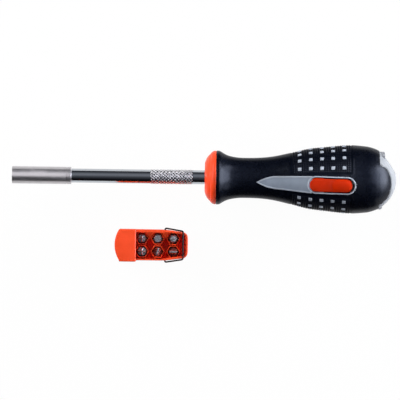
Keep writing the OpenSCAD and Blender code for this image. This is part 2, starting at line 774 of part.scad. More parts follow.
// Release button: a rocker with a latch finger at its front end
module release_button() {
    x0 = button_x + button_half_w;
    x1 = button_end - button_half_w;
    color("orangered") rolled() difference() {
        union() {
            intersection() {
                stadium(x0, x1, button_half_w, button_floor);
                under_skin(button_x - 1, button_end + 1, button_front_rise);
            }
            intersection() {
                stadium(x0, x1, button_half_w, button_floor);
                under_skin(button_x - 1, button_end + 1, button_pad_rise);
                translate([button_x + button_front_len, -belly_r, 0])
                    cube([button_len, 2 * belly_r, 2 * belly_r]);
            }
            translate([button_x + 0.5, -2, bay_half_h - finger_reach])
                cube([1.6, 4, button_floor - bay_half_h + finger_reach + 1]);
        }
        translate([button_pin_x, button_half_w + 1, button_pin_h]) rotate([90, 0, 0])
            cylinder(d = button_pin_d + 2 * run_gap, h = 2 * button_half_w + 2);
        translate([spring_x, 0, button_floor - eps])
            cylinder(r = button_spring_r + 0.6, h = spring_top - button_floor + eps);
    }
}

module button_pin() {
    color("silver") rolled() translate([button_pin_x, button_pin_len / 2, button_pin_h])
        rotate([90, 0, 0]) cylinder(d = button_pin_d, h = button_pin_len);
}

module button_spring() {
    wire_r = 0.25;
    color("darkgray") rolled() translate([spring_x, 0, spring_seat + 0.02])
        coil(button_spring_r - wire_r, wire_r, spring_top - spring_seat - 0.1, 4.5);
}

// Half spaces that shape the dome
module lobe_space(drop) {
    for (side = [0, 180])
        rotate([side, 0, 0]) translate([cap_x, -2 * dome_r, band_half_w - drop])
            rotate([0, -pad_edge_angle, 0]) translate([-2 * dome_r, 0, 0])
                cube([4 * dome_r, 4 * dome_r, 2 * dome_r]);
}

module thumb_facet() {
    translate([cap_x + ledge_len, facet_r, 0]) rotate([0, 0, 36]) translate([0, -2 * dome_r, -dome_r])
        cube([2 * dome_r, 4 * dome_r, 2 * dome_r]);
}

module behind_cap_face() {
    translate([cap_x - 4 * dome_r, -2 * dome_r, -2 * dome_r]) cube(4 * dome_r);
}

// Hinged end cap with its thumb ledge
module end_cap() {
    web_half = hinge_w / 4 - 0.25;
    color("gainsboro") rolled() difference() {
        union() {
            difference() {
                translate([dome_x, 0, 0]) sphere(r = dome_r, $fn = 96);
                behind_cap_face();
                thumb_facet();
                difference() {
                    intersection() {
                        lobe_space(press_gap);
                        translate([dome_x, 0, 0]) sphere(r = dome_r + 1);
                    }
                    translate([dome_x, 0, 0]) sphere(r = dome_r - pad_t - press_gap, $fn = 96);
                }
                translate([cap_x - eps, -2 * dome_r, -dome_r])
                    cube([dome_r, 2 * dome_r - hinge_r + 0.4, 2 * dome_r]);
                translate([hinge_x, -hinge_r, -hinge_w / 2 - free_gap])
                    cylinder(r = knuckle_r + free_gap, h = hinge_w + 2 * free_gap);
            }
            intersection() {
                rod_x(ledge_r, cap_x, cap_x + ledge_len);
                translate([cap_x, ledge_r - 3, -ledge_half_w]) cube([ledge_len, 4, 2 * ledge_half_w]);
            }
            translate([hinge_x, -hinge_r, -web_half]) cylinder(r = knuckle_r, h = 2 * web_half);
            translate([cap_x, -hinge_r, -web_half]) cube([2, 2.4, 2 * web_half]);
        }
        translate([dome_x, 0, 0]) sphere(r = dome_r - dome_wall, $fn = 96);
        translate([hinge_x, -hinge_r, -hinge_w]) cylinder(d = hinge_pin_d + 2 * run_gap, h = 2 * hinge_w);
    }
}

module cap_pads() {
    color("black") rolled() difference() {
        intersection() {
            translate([dome_x, 0, 0]) sphere(r = dome_r, $fn = 96);
            lobe_space(0);
        }
        translate([dome_x, 0, 0]) sphere(r = dome_r - pad_t, $fn = 96);
        behind_cap_face();
        thumb_facet();
    }
}

module hinge_pin() {
    color("silver") rolled() translate([hinge_x, -hinge_r, -hinge_w / 2])
        cylinder(d = hinge_pin_d, h = hinge_w);
}

// Plan of the magazine: a curved head end, straight sides and a tapered end with round corners
function mag_tapered_end(inset) = let(
    w = mag_half_w - inset,
    end_w = w - mag_taper,
    corner = max(mag_corner - inset, 0.7),
    end_x = mag_end - inset,
    arc = [for (k = [0 : 6]) [end_x - corner, end_w - corner] + polar(corner, 90 - 15 * k)],
    upper = concat([[taper_x, w]], arc))
    concat(upper, [for (p = backwards(upper)) [p[0], -p[1]]]);
function mag_curved_end() = let(half = asin(mag_half_w / mag_end_r))
    [for (k = [0 : 10]) [mag_from + mag_end_r, 0] + polar(mag_end_r, 180 + half - half * k / 5)];

module at_magazine() {
    translate([0, -mag_aside, 0]) children();
}

module bit_places() {
    for (column = [0 : 2], row = [-1, 1])
        translate([first_bit_x + column * bit_pitch, row * bit_row_pitch / 2, 0]) children();
}

module magazine_body() {
    inner_x = mag_from + mag_head_len;
    color("orangered") at_magazine() difference() {
        union() {
            translate([0, 0, table_z]) linear_extrude(mag_wall_h)
                polygon(concat(mag_tapered_end(0), mag_curved_end()));
            translate([0, 0, table_z]) linear_extrude(mag_head_h)
                polygon(concat([[inner_x, mag_half_w], [inner_x, -mag_half_w]], mag_curved_end()));
        }
        translate([0, 0, mag_rim_z - mag_rim]) linear_extrude(mag_head_h)
            polygon(concat(mag_tapered_end(mag_wall), [[inner_x, mag_wall - mag_half_w],
                [inner_x, mag_half_w - mag_wall]]));
        bit_places() translate([0, 0, table_z + mag_floor]) hex_bar(pocket_af, mag_head_h);
        for (side = [-90, 90])
            translate([bail_pivot_x, 0, bail_pivot_z]) rotate([side, 0, 0])
                translate([0, 0, mag_half_w - 1.3]) cylinder(d = bail_d + 2 * run_gap, h = 3);
    }
}

// Wire bail that swings over the open end of the magazine
module wire_bail() {
    r = bail_d / 2;
    bar_x = bail_pivot_x + bail_reach;
    bar_half = bail_half_w - mag_taper;
    color("dimgray") at_magazine() {
        for (side = [-1, 1]) {
            pivot = [bail_pivot_x, side * bail_half_w, bail_pivot_z];
            inside = [bail_pivot_x, side * (mag_half_w - 1), bail_pivot_z];
            rod_between(inside, pivot, r, 0.2);
            rod_between(pivot, [bar_x, side * bar_half, bail_bar_z], r, 0.3 * r);
        }
        rod_between([bar_x, -bar_half, bail_bar_z], [bar_x, bar_half, bail_bar_z], r, 0.6 * r);
    }
}

// A bit standing in its pocket with its working end up; children shape the end from its root
module standing_bit(column, row) {
    shank_len = bit_len - bit_tip_len - bit_neck_len;
    neck_r = bit_af / 2 - 0.5;
    color("gray") at_magazine()
        translate([first_bit_x + column * bit_pitch, row * bit_row_pitch / 2, bit_seat_z]) {
            intersection() {
                hex_bar(bit_af, shank_len);
                rotate_extrude() polygon([[0, 0], [bit_af / 2 - 0.3, 0], [bit_af / 2 + 0.6, 0.7],
                    [bit_af / 2 + 0.6, shank_len - 0.7], [neck_r, shank_len], [0, shank_len]]);
            }
            translate([0, 0, shank_len - eps]) cylinder(r = neck_r, h = bit_neck_len + eps);
            translate([0, 0, shank_len + bit_neck_len - eps]) children();
        }
}

// Pointed end with four flutes
module cross_end(r) {
    len = bit_tip_len + eps;
    difference() {
        rotate_extrude() polygon([[0, 0], [r, 0], [r, len * 0.45], [0.7, len - 0.6], [0.3, len], [0, len]]);
        for (a = [45 : 90 : 315])
            rotate([0, 0, a]) translate([0.75, 0, len * 0.35]) rotate([0, -9, 0]) rotate([0, 0, -45])
                cube([2 * r, 2 * r, len]);
    }
}

// Flat blade
module slotted_end(width, thick) {
    len = bit_tip_len + eps;
    intersection() {
        cylinder(r = bit_af / 2 - 0.65, h = len);
        rotate([90, 0, 0]) translate([0, 0, -bit_af]) linear_extrude(2 * bit_af)
            polygon([[-bit_af / 2, 0], [bit_af / 2, 0], [thick / 2, len * 0.75], [thick / 2, len],
                [-thick / 2, len], [-thick / 2, len * 0.75]]);
        translate([-bit_af, -width / 2, 0]) cube([2 * bit_af, width, len]);
    }
}

module cross_bit_small() {
    standing_bit(0, 1) cross_end(cross_small_d / 2);
}

module cross_bit_large() {
    standing_bit(0, -1) cross_end(cross_large_d / 2);
}

module hexagon_bit() {
    standing_bit(1, 1) hex_bar(key_af, bit_tip_len + eps);
}

module slotted_bit_small() {
    standing_bit(1, -1) rotate([0, 0, 45]) slotted_end(blade_small_w, 0.8 * blade_t);
}

module slotted_bit_large() {
    standing_bit(2, -1) rotate([0, 0, 90]) slotted_end(blade_large_w, blade_t);
}

module six_lobe_bit() {
    lobes = [for (k = [0 : 71]) polar(lobe_d * (0.43 + 0.07 * cos(30 * k)), 5 * k)];
    standing_bit(2, 1) linear_extrude(bit_tip_len + eps) polygon(lobes);
}

bit_holder();
bit_magnet();
shaft();
ratchet_gear();
thrust_washer();
shaft_circlip();
selector_ring();
shift_plungers();
plunger_springs();
pawl_upper();
pawl_lower();
ratchet_housing();
housing_cover();
cover_screws();
pawl_pins();
detent_ball();
detent_spring();
rear_bush();
handle_core();
grip_sleeve();
grip_studs();
side_plate();
button_pin();
button_spring();
hinge_pin();
release_button();
end_cap();
cap_pads();
magazine_body();
wire_bail();
cross_bit_small();
cross_bit_large();
hexagon_bit();
slotted_bit_small();
slotted_bit_large();
six_lobe_bit();
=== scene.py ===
"""Looks of the ratcheting screwdriver and its bit magazine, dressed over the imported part."""

import json
import logging
import math
from dataclasses import dataclass, field
from enum import Enum
from typing import Any, Callable, Sequence

import bmesh
import bpy
from mathutils import Matrix, Vector


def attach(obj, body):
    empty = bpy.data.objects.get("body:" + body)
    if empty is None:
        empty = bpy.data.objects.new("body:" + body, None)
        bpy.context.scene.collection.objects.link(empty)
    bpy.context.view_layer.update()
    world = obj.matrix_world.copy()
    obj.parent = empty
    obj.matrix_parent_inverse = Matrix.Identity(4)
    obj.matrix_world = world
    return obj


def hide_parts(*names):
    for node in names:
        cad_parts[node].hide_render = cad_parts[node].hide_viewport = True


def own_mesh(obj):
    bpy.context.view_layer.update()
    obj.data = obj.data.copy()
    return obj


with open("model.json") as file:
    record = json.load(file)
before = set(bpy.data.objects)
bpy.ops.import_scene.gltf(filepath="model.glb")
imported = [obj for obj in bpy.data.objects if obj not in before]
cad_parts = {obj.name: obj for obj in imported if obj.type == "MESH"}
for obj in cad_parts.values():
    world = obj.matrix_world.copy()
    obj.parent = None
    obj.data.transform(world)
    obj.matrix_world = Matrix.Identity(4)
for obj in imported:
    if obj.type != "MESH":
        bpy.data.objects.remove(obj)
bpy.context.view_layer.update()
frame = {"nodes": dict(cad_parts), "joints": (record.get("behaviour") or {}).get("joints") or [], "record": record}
LOG = logging.getLogger("screwdriver")
MM = 0.001
Colour = tuple[float, float, float]


def smoothstep(low: float, high: float, value: float) -> float:
    """Ease from 0 at low to 1 at high."""
    t = min(1.0, max(0.0, (value - low) / (high - low)))
    return t * t * (3 - 2 * t)


@dataclass(frozen=True)
class Curve:
    """A smooth curve through stops.

    Attributes:
        stops: Places in rising order and the value at each.
    """

    stops: tuple[tuple[float, float], ...]

    def slope(self, i: int) -> float:
        """Slope of the curve at a stop."""
        (x0, y0), (x1, y1) = self.stops[max(i - 1, 0)], self.stops[min(i + 1, len(self.stops) - 1)]
        return (y1 - y0) / (x1 - x0)

    def at(self, x: float) -> float:
        """Value at a place.

        Args:
            x: The place.

        Returns:
            The value there.
        """
        i = max(k for k in range(len(self.stops) - 1) if k == 0 or self.stops[k][0] <= x)
        (x0, y0), (x1, y1) = self.stops[i], self.stops[i + 1]
        h = x1 - x0
        t = min(1.0, max(0.0, (x - x0) / h))
        return (y0 * (1 + 2 * t) * (1 - t) ** 2 + self.slope(i) * h * t * (1 - t) ** 2
                + y1 * t * t * (3 - 2 * t) + self.slope(i + 1) * h * t * t * (t - 1))


class Wire:
    """A socket in a shader expression; arithmetic on it adds Math nodes."""

    def __init__(self, shader: "Shader", socket: bpy.types.NodeSocket) -> None:
        """Keep the socket and the tree that it belongs to."""
        self.shader = shader
        self.socket = socket

    def math(self, operation: str, *others: "Wire | float") -> "Wire":
        """Add one Math node that starts from this value.

        Args:
            operation: The Math node's operation.
            others: The node's other values.

        Returns:
            The node's value.
        """
        return self.shader.node("ShaderNodeMath", {"operation": operation}, dict(enumerate((self, *others))))

    def __add__(self, other: "Wire | float") -> "Wire":
        """This plus other."""
        return self.math("ADD", other)

    def __radd__(self, other: float) -> "Wire":
        """Other plus this."""
        return self.math("ADD", other)

    def __sub__(self, other: "Wire | float") -> "Wire":
        """This minus other."""
        return self.math("SUBTRACT", other)

    def __rsub__(self, other: float) -> "Wire":
        """Other minus this."""
        return self.shader.node("ShaderNodeMath", {"operation": "SUBTRACT"}, {0: other, 1: self})

    def __mul__(self, other: "Wire | float") -> "Wire":
        """This times other."""
        return self.math("MULTIPLY", other)

    def __rmul__(self, other: float) -> "Wire":
        """Other times this."""
        return self.math("MULTIPLY", other)

    def eased(self, low: float, high: float) -> "Wire":
        """Ease from 0 at low to 1 at high."""
        return self.shader.node("ShaderNodeMapRange", {"interpolation_type": "SMOOTHSTEP"},
                                {"Value": self, "From Min": low, "From Max": high})


class Shader:
    """A node tree that is written as expressions."""

    def __init__(self, tree: bpy.types.NodeTree) -> None:
        """Start from an empty tree."""
        self.tree = tree
        tree.nodes.clear()

    def node(self, kind: str, settings: dict[str, Any] | None = None,
             sockets: dict[str | int, Any] | None = None, out: int | str = 0) -> Wire:
        """Add a node of any type.

        Args:
            kind: The node's type.
            settings: Its properties, set first; stops fills a colour ramp.
            sockets: Values or links of its inputs.
            out: The output that is returned.

        Returns:
            The chosen output.
        """
        node = self.tree.nodes.new(kind)
        for name, value in (settings or {}).items():
            if name == "stops":
                ramp = node.color_ramp
                while len(ramp.elements) < len(value):
                    ramp.elements.new(1.0)
                for element, (place, colour) in zip(ramp.elements, value):
                    element.position = place
                    element.color = (*colour, 1.0)
            else:
                setattr(node, name, value)
        for name, value in (sockets or {}).items():
            if isinstance(value, Wire):
                self.tree.links.new(value.socket, node.inputs[name])
            else:
                node.inputs[name].default_value = value
        return Wire(self, node.outputs[out] if len(node.outputs) else None)

    def at(self, scale: Sequence[float] = (1.0, 1.0, 1.0)) -> Wire:
        """Object coordinates, scaled by factors on X, Y and Z."""
        sockets = {"Vector": self.node("ShaderNodeTexCoord", out="Object"), "Scale": tuple(scale)}
        return self.node("ShaderNodeMapping", {"vector_type": "POINT"}, sockets)

    def noise(self, size: float, detail: float = 3.0, at: Wire | None = None, rough: float = 0.5) -> Wire:
        """Cloudy noise.

        Args:
            size: Size of its blots in millimetres.
            detail: Octaves.
            at: Coordinates, or plain Object coordinates.
            rough: Strength of the finer octaves.

        Returns:
            The noise, about 0.5 on average.
        """
        return self.node("ShaderNodeTexNoise", None, {
            "Vector": at or self.at(), "Scale": 1 / (size * MM), "Detail": detail, "Roughness": rough})

    def cells(self, size: float) -> Wire:
        """Distance to the nearest of scattered points that lie about size millimetres apart."""
        return self.node("ShaderNodeTexVoronoi", None, {"Vector": self.at(), "Scale": 1 / (size * MM)})

    def mix(self, low: "Wire | Colour", high: "Wire | Colour", share: Wire) -> Wire:
        """Blend two colours.

        Args:
            low: The colour where share is 0.
            high: The colour where share is 1.
            share: The blend.

        Returns:
            The colour.
        """
        ends = [c if isinstance(c, Wire) else (*c, 1.0) for c in (low, high)]
        return self.node("ShaderNodeMix", {"data_type": "RGBA"}, {0: share, 6: ends[0], 7: ends[1]}, out=2)

    def bump(self, height: Wire, depth: float) -> Wire:
        """Relief of a height from 0 to 1 that stands depth millimetres tall."""
        return self.node("ShaderNodeBump", None, {"Height": height, "Distance": depth * MM, "Strength": 1.0})


class Grain(Enum):
    """How a metal was worked, as the stretch of its marks along X, Y and Z."""

    TURNED = (1.0, 0.05, 0.05)
    DRAWN = (0.05, 1.0, 1.0)
    UPRIGHT = (1.0, 1.0, 0.06)
    CAST = (1.0, 1.0, 1.0)


@dataclass(frozen=True)
class Finish:
    """What a surface is made of; each kind paints its own shader.

    Attributes:
        name: The material's name, which no material of the frame has.
    """

    name: str

    def paint(self, shader: Shader) -> dict[str, Any]:
        """Values and links of the surface shader's inputs."""
        raise NotImplementedError

    def material(self) -> bpy.types.Material:
        """The finish as a material, made once.

        Returns:
            The material.
        """
        ready = bpy.data.materials.get(self.name)
        if ready is None:
            ready = bpy.data.materials.new(self.name)
            ready.use_nodes = True
            shader = Shader(ready.node_tree)
            surface = shader.node("ShaderNodeBsdfPrincipled", None, self.paint(shader))
            shader.node("ShaderNodeOutputMaterial", None, {"Surface": surface})
        return ready


@dataclass(frozen=True)
class MouldedPlastic(Finish):
    """Hard plastic with the fine spark-eroded grain of its mould and a few handling scuffs.

    Attributes:
        colour: Base colour.
        rough: Roughness between scuffs.
        grain: Size of the mould's grain in millimetres.
        relief: Depth of the grain in millimetres.
        mottle: Strength of the slow colour drift.
        shine: Strength of its reflections.
    """

    colour: Colour = (0.5, 0.5, 0.5)
    rough: float = 0.38
    grain: float = 0.16
    relief: float = 0.012
    mottle: float = 0.1
    shine: float = 0.36

    def paint(self, shader: Shader) -> dict[str, Any]:
        """Drift the colour, roughen it in scuffs and give it grain.

        Args:
            shader: The material's node tree.

        Returns:
            Values and links of the surface shader's inputs.
        """
        drift = shader.noise(size=7.0, detail=3.0).eased(0.3, 0.7)
        brushed = shader.at((0.5, 1.0, 0.8))
        scuff = shader.noise(size=1.6, detail=6.0, at=brushed, rough=0.7).eased(0.58, 0.74)
        grain = shader.noise(self.grain, detail=2.0)
        low = tuple(c * (1 - self.mottle) for c in self.colour)
        high = tuple(min(1.0, c * (1 + 0.5 * self.mottle)) for c in self.colour)
        worn = tuple(c * 0.85 + 0.02 for c in self.colour)
        return {"Base Color": shader.mix(shader.mix(low, high, drift), worn, scuff * 0.35),
                "Roughness": self.rough + 0.06 * drift + 0.12 * scuff,
                "Specular IOR Level": self.shine,
                "Normal": shader.bump(grain + 0.4 * scuff, self.relief)}


@dataclass(frozen=True)
class SoftRubber(Finish):
    """Soft moulded rubber: matt, with a leathery grain and a trace of dust.

    Attributes:
        colour: Base colour.
        dust: Colour of the dust that stays in it.
        rough: Roughness of the clean skin.
        shine: Strength of its reflections.
    """

    colour: Colour = (0.0005, 0.0012, 0.004)
    dust: Colour = (0.0025, 0.0035, 0.007)
    rough: float = 0.25
    shine: float = 0.16

    def paint(self, shader: Shader) -> dict[str, Any]:
        """Dust the colour in patches and give the skin its grain.

        Args:
            shader: The material's node tree.

        Returns:
            Values and links of the surface shader's inputs.
        """
        patch = shader.noise(size=5.0, detail=5.0, rough=0.6).eased(0.42, 0.78)
        speck = shader.cells(size=0.55).eased(0.34, 0.08)
        grain = shader.noise(size=0.22, detail=3.0)
        dusty = patch * 0.45 + patch * speck * 0.4
        return {"Base Color": shader.mix(self.colour, self.dust, dusty),
                "Roughness": self.rough + 0.05 * patch + 0.03 * grain,
                "Specular IOR Level": self.shine, "Specular Tint": (0.74, 0.83, 1.0, 1.0),
                "Normal": shader.bump(grain, depth=0.006)}


@dataclass(frozen=True)
class WorkedMetal(Finish):
    """Bare or plated metal with the marks of its working.

    Attributes:
        colour: Reflection colour.
        dull: Colour where it has dulled.
        rough: Roughness of the bright metal.
        grain: How it was worked.
        mark: Spacing of its marks in millimetres.
        relief: Depth of its marks in millimetres.
    """

    colour: Colour = (0.7, 0.7, 0.72)
    dull: Colour = (0.45, 0.45, 0.47)
    rough: float = 0.25
    grain: Grain = Grain.CAST
    mark: float = 0.12
    relief: float = 0.002

    def paint(self, shader: Shader) -> dict[str, Any]:
        """Dull the colour in patches and lay the marks over it.

        Args:
            shader: The material's node tree.

        Returns:
            Values and links of the surface shader's inputs.
        """
        patch = shader.noise(size=4.0, detail=5.0, rough=0.6).eased(0.4, 0.75)
        marks = shader.noise(self.mark, detail=4.0, at=shader.at(self.grain.value), rough=0.6)
        deep = marks.eased(0.5, 0.8)
        return {"Base Color": shader.mix(self.colour, self.dull, patch * 0.4 + deep * 0.3),
                "Metallic": 1.0,
                "Roughness": self.rough + 0.1 * patch + 0.14 * deep,
                "Normal": shader.bump(marks, self.relief)}


@dataclass(frozen=True)
class SinteredBronze(Finish):
    """Pressed bronze powder: grainy, with dark oil-filled pores.

    Attributes:
        colour: Reflection colour.
        dull: Colour where it has dulled.
        oil: Colour of the pores.
    """

    colour: Colour = (0.62, 0.42, 0.19)
    dull: Colour = (0.42, 0.27, 0.11)
    oil: Colour = (0.1, 0.07, 0.04)

    def paint(self, shader: Shader) -> dict[str, Any]:
        """Scatter pores over the bronze.

        Args:
            shader: The material's node tree.

        Returns:
            Values and links of the surface shader's inputs.
        """
        pore = shader.cells(size=0.3).eased(0.3, 0.05)
        drift = shader.noise(size=2.0, detail=4.0)
        tone = shader.mix(self.colour, self.dull, drift)
        return {"Base Color": shader.mix(tone, self.oil, pore * 0.7),
                "Metallic": 1.0,
                "Roughness": 0.38 + 0.2 * drift,
                "Normal": shader.bump(1 - pore, depth=0.02)}


class Finishes:
    """The finishes of this tool, by the part they are used on."""

    ORANGE = MouldedPlastic("orange_moulding", (0.89, 0.064, 0.011), rough=0.36, mottle=0.05, shine=0.2)
    # The magazine's orange is the same orange moulding made brighter: painted light that stands in for more light
    # on the magazine.
    ORANGE_PAINTED_LIGHT = MouldedPlastic("magazine_moulding_painted_light", (1.0, 0.08, 0.018), rough=0.36, mottle=0.05,
                                   shine=0.2)
    DEEP_ORANGE = MouldedPlastic("button_moulding", (0.66, 0.027, 0.0005), rough=0.46, mottle=0.08,
                                 shine=0.02)
    RUBBER = SoftRubber("soft_grip")
    FIELD = SoftRubber("soft_field", rough=0.3, shine=0.07)
    BLUE_GREY = MouldedPlastic("blue_grey_moulding", (0.222, 0.272, 0.342), rough=0.46, grain=0.3,
                               relief=0.05)
    STUD_GREY = MouldedPlastic("stud_moulding", (0.36, 0.405, 0.475), rough=0.4, grain=0.2)
    PALE_GREY = MouldedPlastic("cap_moulding", (0.262, 0.276, 0.297), rough=0.42, mottle=0.06, shine=0.2)
    CORE = MouldedPlastic("core_moulding", (0.3, 0.32, 0.35), rough=0.46)
    SATIN = WorkedMetal("turned_steel", (0.52, 0.505, 0.52), (0.39, 0.37, 0.38), rough=0.3,
                        grain=Grain.TURNED, mark=0.14, relief=0.0015)
    CHROME = WorkedMetal("plated_chrome", (0.51, 0.535, 0.575), (0.4, 0.42, 0.455), rough=0.06,
                         grain=Grain.TURNED, mark=0.1, relief=0.0008)
    # The diamonds' points: bare rolled steel, made lighter still as a painted highlight.
    KNURL_AND_HIGHLIGHT = WorkedMetal("rolled_knurl_and_painted_highlight", (0.9, 0.89, 0.92), (0.6, 0.59, 0.61), rough=0.28,
                        grain=Grain.CAST, mark=0.2, relief=0.002)
    # The knurl's grooves: its own steel painted near black, as painted shade in the grooves.
    KNURL_GROOVE_SHADE = WorkedMetal("knurl_groove_painted_shade", (0.05, 0.047, 0.052), (0.03, 0.029, 0.03), rough=0.36,
                         grain=Grain.CAST, mark=0.2, relief=0.004)
    BIT = WorkedMetal("ground_steel", (0.52, 0.5, 0.515), (0.17, 0.16, 0.165), rough=0.26,
                      grain=Grain.UPRIGHT, mark=0.1, relief=0.004)
    RATCHET = WorkedMetal("hardened_steel", (0.42, 0.41, 0.42), (0.24, 0.23, 0.24), rough=0.34,
                          grain=Grain.TURNED, mark=0.1, relief=0.004)
    MAGNET = WorkedMetal("magnet_nickel", (0.5, 0.49, 0.47), (0.3, 0.3, 0.3), rough=0.24,
                         grain=Grain.CAST, mark=0.3, relief=0.003)
    WIRE = WorkedMetal("drawn_wire", (0.3, 0.3, 0.32), (0.14, 0.14, 0.15), rough=0.28,
                       grain=Grain.DRAWN, mark=0.08, relief=0.003)
    DARK_WIRE = WorkedMetal("dark_wire", (0.014, 0.013, 0.014), (0.008, 0.008, 0.009), rough=0.3,
                            grain=Grain.DRAWN, mark=0.08, relief=0.003)
    CAST = WorkedMetal("die_casting", (0.55, 0.55, 0.57), (0.36, 0.36, 0.38), rough=0.45,
                       grain=Grain.CAST, mark=0.35, relief=0.02)
    BRONZE = SinteredBronze("sintered_bronze")
    BY_SLOT = {"satin_steel": SATIN, "dark_chrome": CHROME, "bit_steel": BIT, "ratchet_steel": RATCHET,
               "magnet": MAGNET, "spring_steel": WIRE, "bronze": BRONZE, "cast_housing": CAST,
               "orange_plastic": ORANGE, "black_rubber": RUBBER, "core_plastic": CORE,
               "grey_plastic": BLUE_GREY, "cap_plastic": PALE_GREY}


class Blank:
    """A piece being shaped, in millimetres: X along the tool, Z towards its button."""

    def __init__(self) -> None:
        """Start with an empty mesh."""
        self.bm = bmesh.new()

    def spin(self, profile: Sequence[tuple[float, float]], steps: int, start: float = 0.0,
             sweep: float = 360.0, closed: bool = False) -> None:
        """Turn a profile about the tool's axis.

        Args:
            profile: Distances along the axis and radii.
            steps: Number of steps in the turn.
            start: Angle of the first step from Z, in degrees.
            sweep: Angle of the turn in degrees.
            closed: Whether the last point joins the first.
        """
        turn = Matrix.Rotation(math.radians(start), 3, "X")
        verts = [self.bm.verts.new(turn @ Vector((x, 0.0, r))) for x, r in profile]
        edges = [self.bm.edges.new(pair) for pair in zip(verts, verts[1:])]
        if closed:
            edges.append(self.bm.edges.new((verts[-1], verts[0])))
        bmesh.ops.spin(self.bm, geom=verts + edges, cent=(0, 0, 0), axis=(1, 0, 0), dvec=(0, 0, 0),
                       angle=math.radians(sweep), steps=steps, use_merge=sweep == 360.0)
        self.tidy()

    def sheet(self, across: int, along: int, place: Callable[[float, float], Vector]) -> None:
        """Bend a grid to a surface.

        Args:
            across: Faces in the first direction.
            along: Faces in the second direction.
            place: Gives the point for two shares from 0 to 1.
        """
        half = 0.5
        made = bmesh.ops.create_grid(self.bm, x_segments=across, y_segments=along, size=half)["verts"]
        for vert in made:
            vert.co = place(vert.co.x + half, vert.co.y + half)

    def block(self, low: Sequence[float], high: Sequence[float],
              bevel: float = 0.0) -> list[bmesh.types.BMVert]:
        """Add a box with rounded edges.

        Args:
            low: Its lowest corner.
            high: Its highest corner.
            bevel: Width of its rounded edges.

        Returns:
            Its vertices.
        """
        low, high = Vector(low), Vector(high)
        place = Matrix.Translation((low + high) / 2) @ Matrix.Diagonal((*(high - low), 1.0))
        made = bmesh.ops.create_cube(self.bm, size=1.0, matrix=place)["verts"]
        if bevel:
            done = bmesh.ops.bevel(self.bm, geom=self.edges_at(made), offset=bevel, offset_type="OFFSET",
                                   segments=2, profile=0.5, affect="EDGES", material=-1)
            made = list({v for v in [*made, *done["verts"]] if v.is_valid})
        return made

    @staticmethod
    def edges_at(verts: Sequence[bmesh.types.BMVert]) -> list[bmesh.types.BMEdge]:
        """The edges that meet at some vertices."""
        return list({e for v in verts for e in v.link_edges})

    def rims(self) -> list[bmesh.types.BMEdge]:
        """The edges of the open ends."""
        return [e for e in self.bm.edges if e.is_boundary]

    def bridge(self, loops: Sequence[list[bmesh.types.BMEdge]]) -> None:
        """Join each loop of edges to the next."""
        for first, second in zip(loops, loops[1:]):
            bmesh.ops.bridge_loops(self.bm, edges=first + second)

    @staticmethod
    def rounded(corners: Sequence[Vector], radius: float, steps: int) -> list[Vector]:
        """A path through corners, with each inner corner rounded.

        Args:
            corners: The path's corners.
            radius: How far from a corner its bend starts.
            steps: Points in a bend.

        Returns:
            The points of the path.
        """
        path = [corners[0]]
        for before, at, after in zip(corners, corners[1:], corners[2:]):
            start = at + (before - at).normalized() * min(radius, (before - at).length / 2)
            end = at + (after - at).normalized() * min(radius, (after - at).length / 2)
            path += [start * (1 - t) ** 2 + at * 2 * t * (1 - t) + end * t * t for t in
                     (k / steps for k in range(steps + 1))]
        return [*path, corners[-1]]

    @staticmethod
    def evenly(path: Sequence[Vector], count: int) -> list[Vector]:
        """Points at even distances along a closed path.

        Args:
            path: The path, with its first point again at its end.
            count: Number of points.

        Returns:
            The points.
        """
        reach = [0.0]
        for a, b in zip(path, path[1:]):
            reach.append(reach[-1] + (b - a).length)
        points, i = [], 0
        for k in range(count):
            want = reach[-1] * k / count
            while reach[i + 1] < want:
                i += 1
            step = max(reach[i + 1] - reach[i], 1e-9)
            points.append(path[i].lerp(path[i + 1], (want - reach[i]) / step))
        return points

    def tube(self, path: Sequence[Vector], radius: float, sides: int, up: Vector) -> None:
        """Add a round wire along a path.

        Args:
            path: Points along its middle.
            radius: Its radius.
            sides: Faces round it.
            up: A direction that the path never takes.
        """
        loops = []
        for k, at in enumerate(path):
            ahead = (path[min(k + 1, len(path) - 1)] - path[max(k - 1, 0)]).normalized()
            side = ahead.cross(up).normalized()
            turn = Matrix((side, ahead.cross(side), ahead)).transposed().to_4x4()
            ring = bmesh.ops.create_circle(self.bm, cap_ends=False, radius=radius, segments=sides,
                                           matrix=Matrix.Translation(at) @ turn)["verts"]
            loops.append(self.edges_at(ring))
        self.bridge(loops)
        self.tidy()
        self.close()

    def join(self, other: "Blank") -> None:
        """Take in another blank's mesh.

        Args:
            other: The blank, which is used up.
        """
        mesh = bpy.data.meshes.new("joined")
        other.bm.to_mesh(mesh)
        other.bm.free()
        self.bm.from_mesh(mesh)
        bpy.data.meshes.remove(mesh)

    def tidy(self, merge: float = 0.001) -> None:
        """Merge doubles, then point the faces outwards.

        Args:
            merge: Distance within which points are one.
        """
        bmesh.ops.remove_doubles(self.bm, verts=self.bm.verts, dist=merge)
        bmesh.ops.dissolve_degenerate(self.bm, edges=self.bm.edges, dist=merge / 10)
        bmesh.ops.recalc_face_normals(self.bm, faces=self.bm.faces)

    def close(self) -> None:
        """Fill the open ends."""
        bmesh.ops.holes_fill(self.bm, edges=self.rims(), sides=0)
        bmesh.ops.recalc_face_normals(self.bm, faces=self.bm.faces)

    def soften(self, angle: float, width: float, segments: int = 2) -> None:
        """Round the edges that are sharper than an angle.

        Args:
            angle: Least angle between the two faces, in degrees.
            width: Width of the rounding.
            segments: Faces across it.
        """
        limit = math.radians(angle)
        sharp = [e for e in self.bm.edges if len(e.link_faces) == 2 and e.calc_face_angle(0.0) > limit]
        bmesh.ops.bevel(self.bm, geom=sharp, offset=width, offset_type="OFFSET", segments=segments,
                        profile=0.5, affect="EDGES", clamp_overlap=True, material=-1)


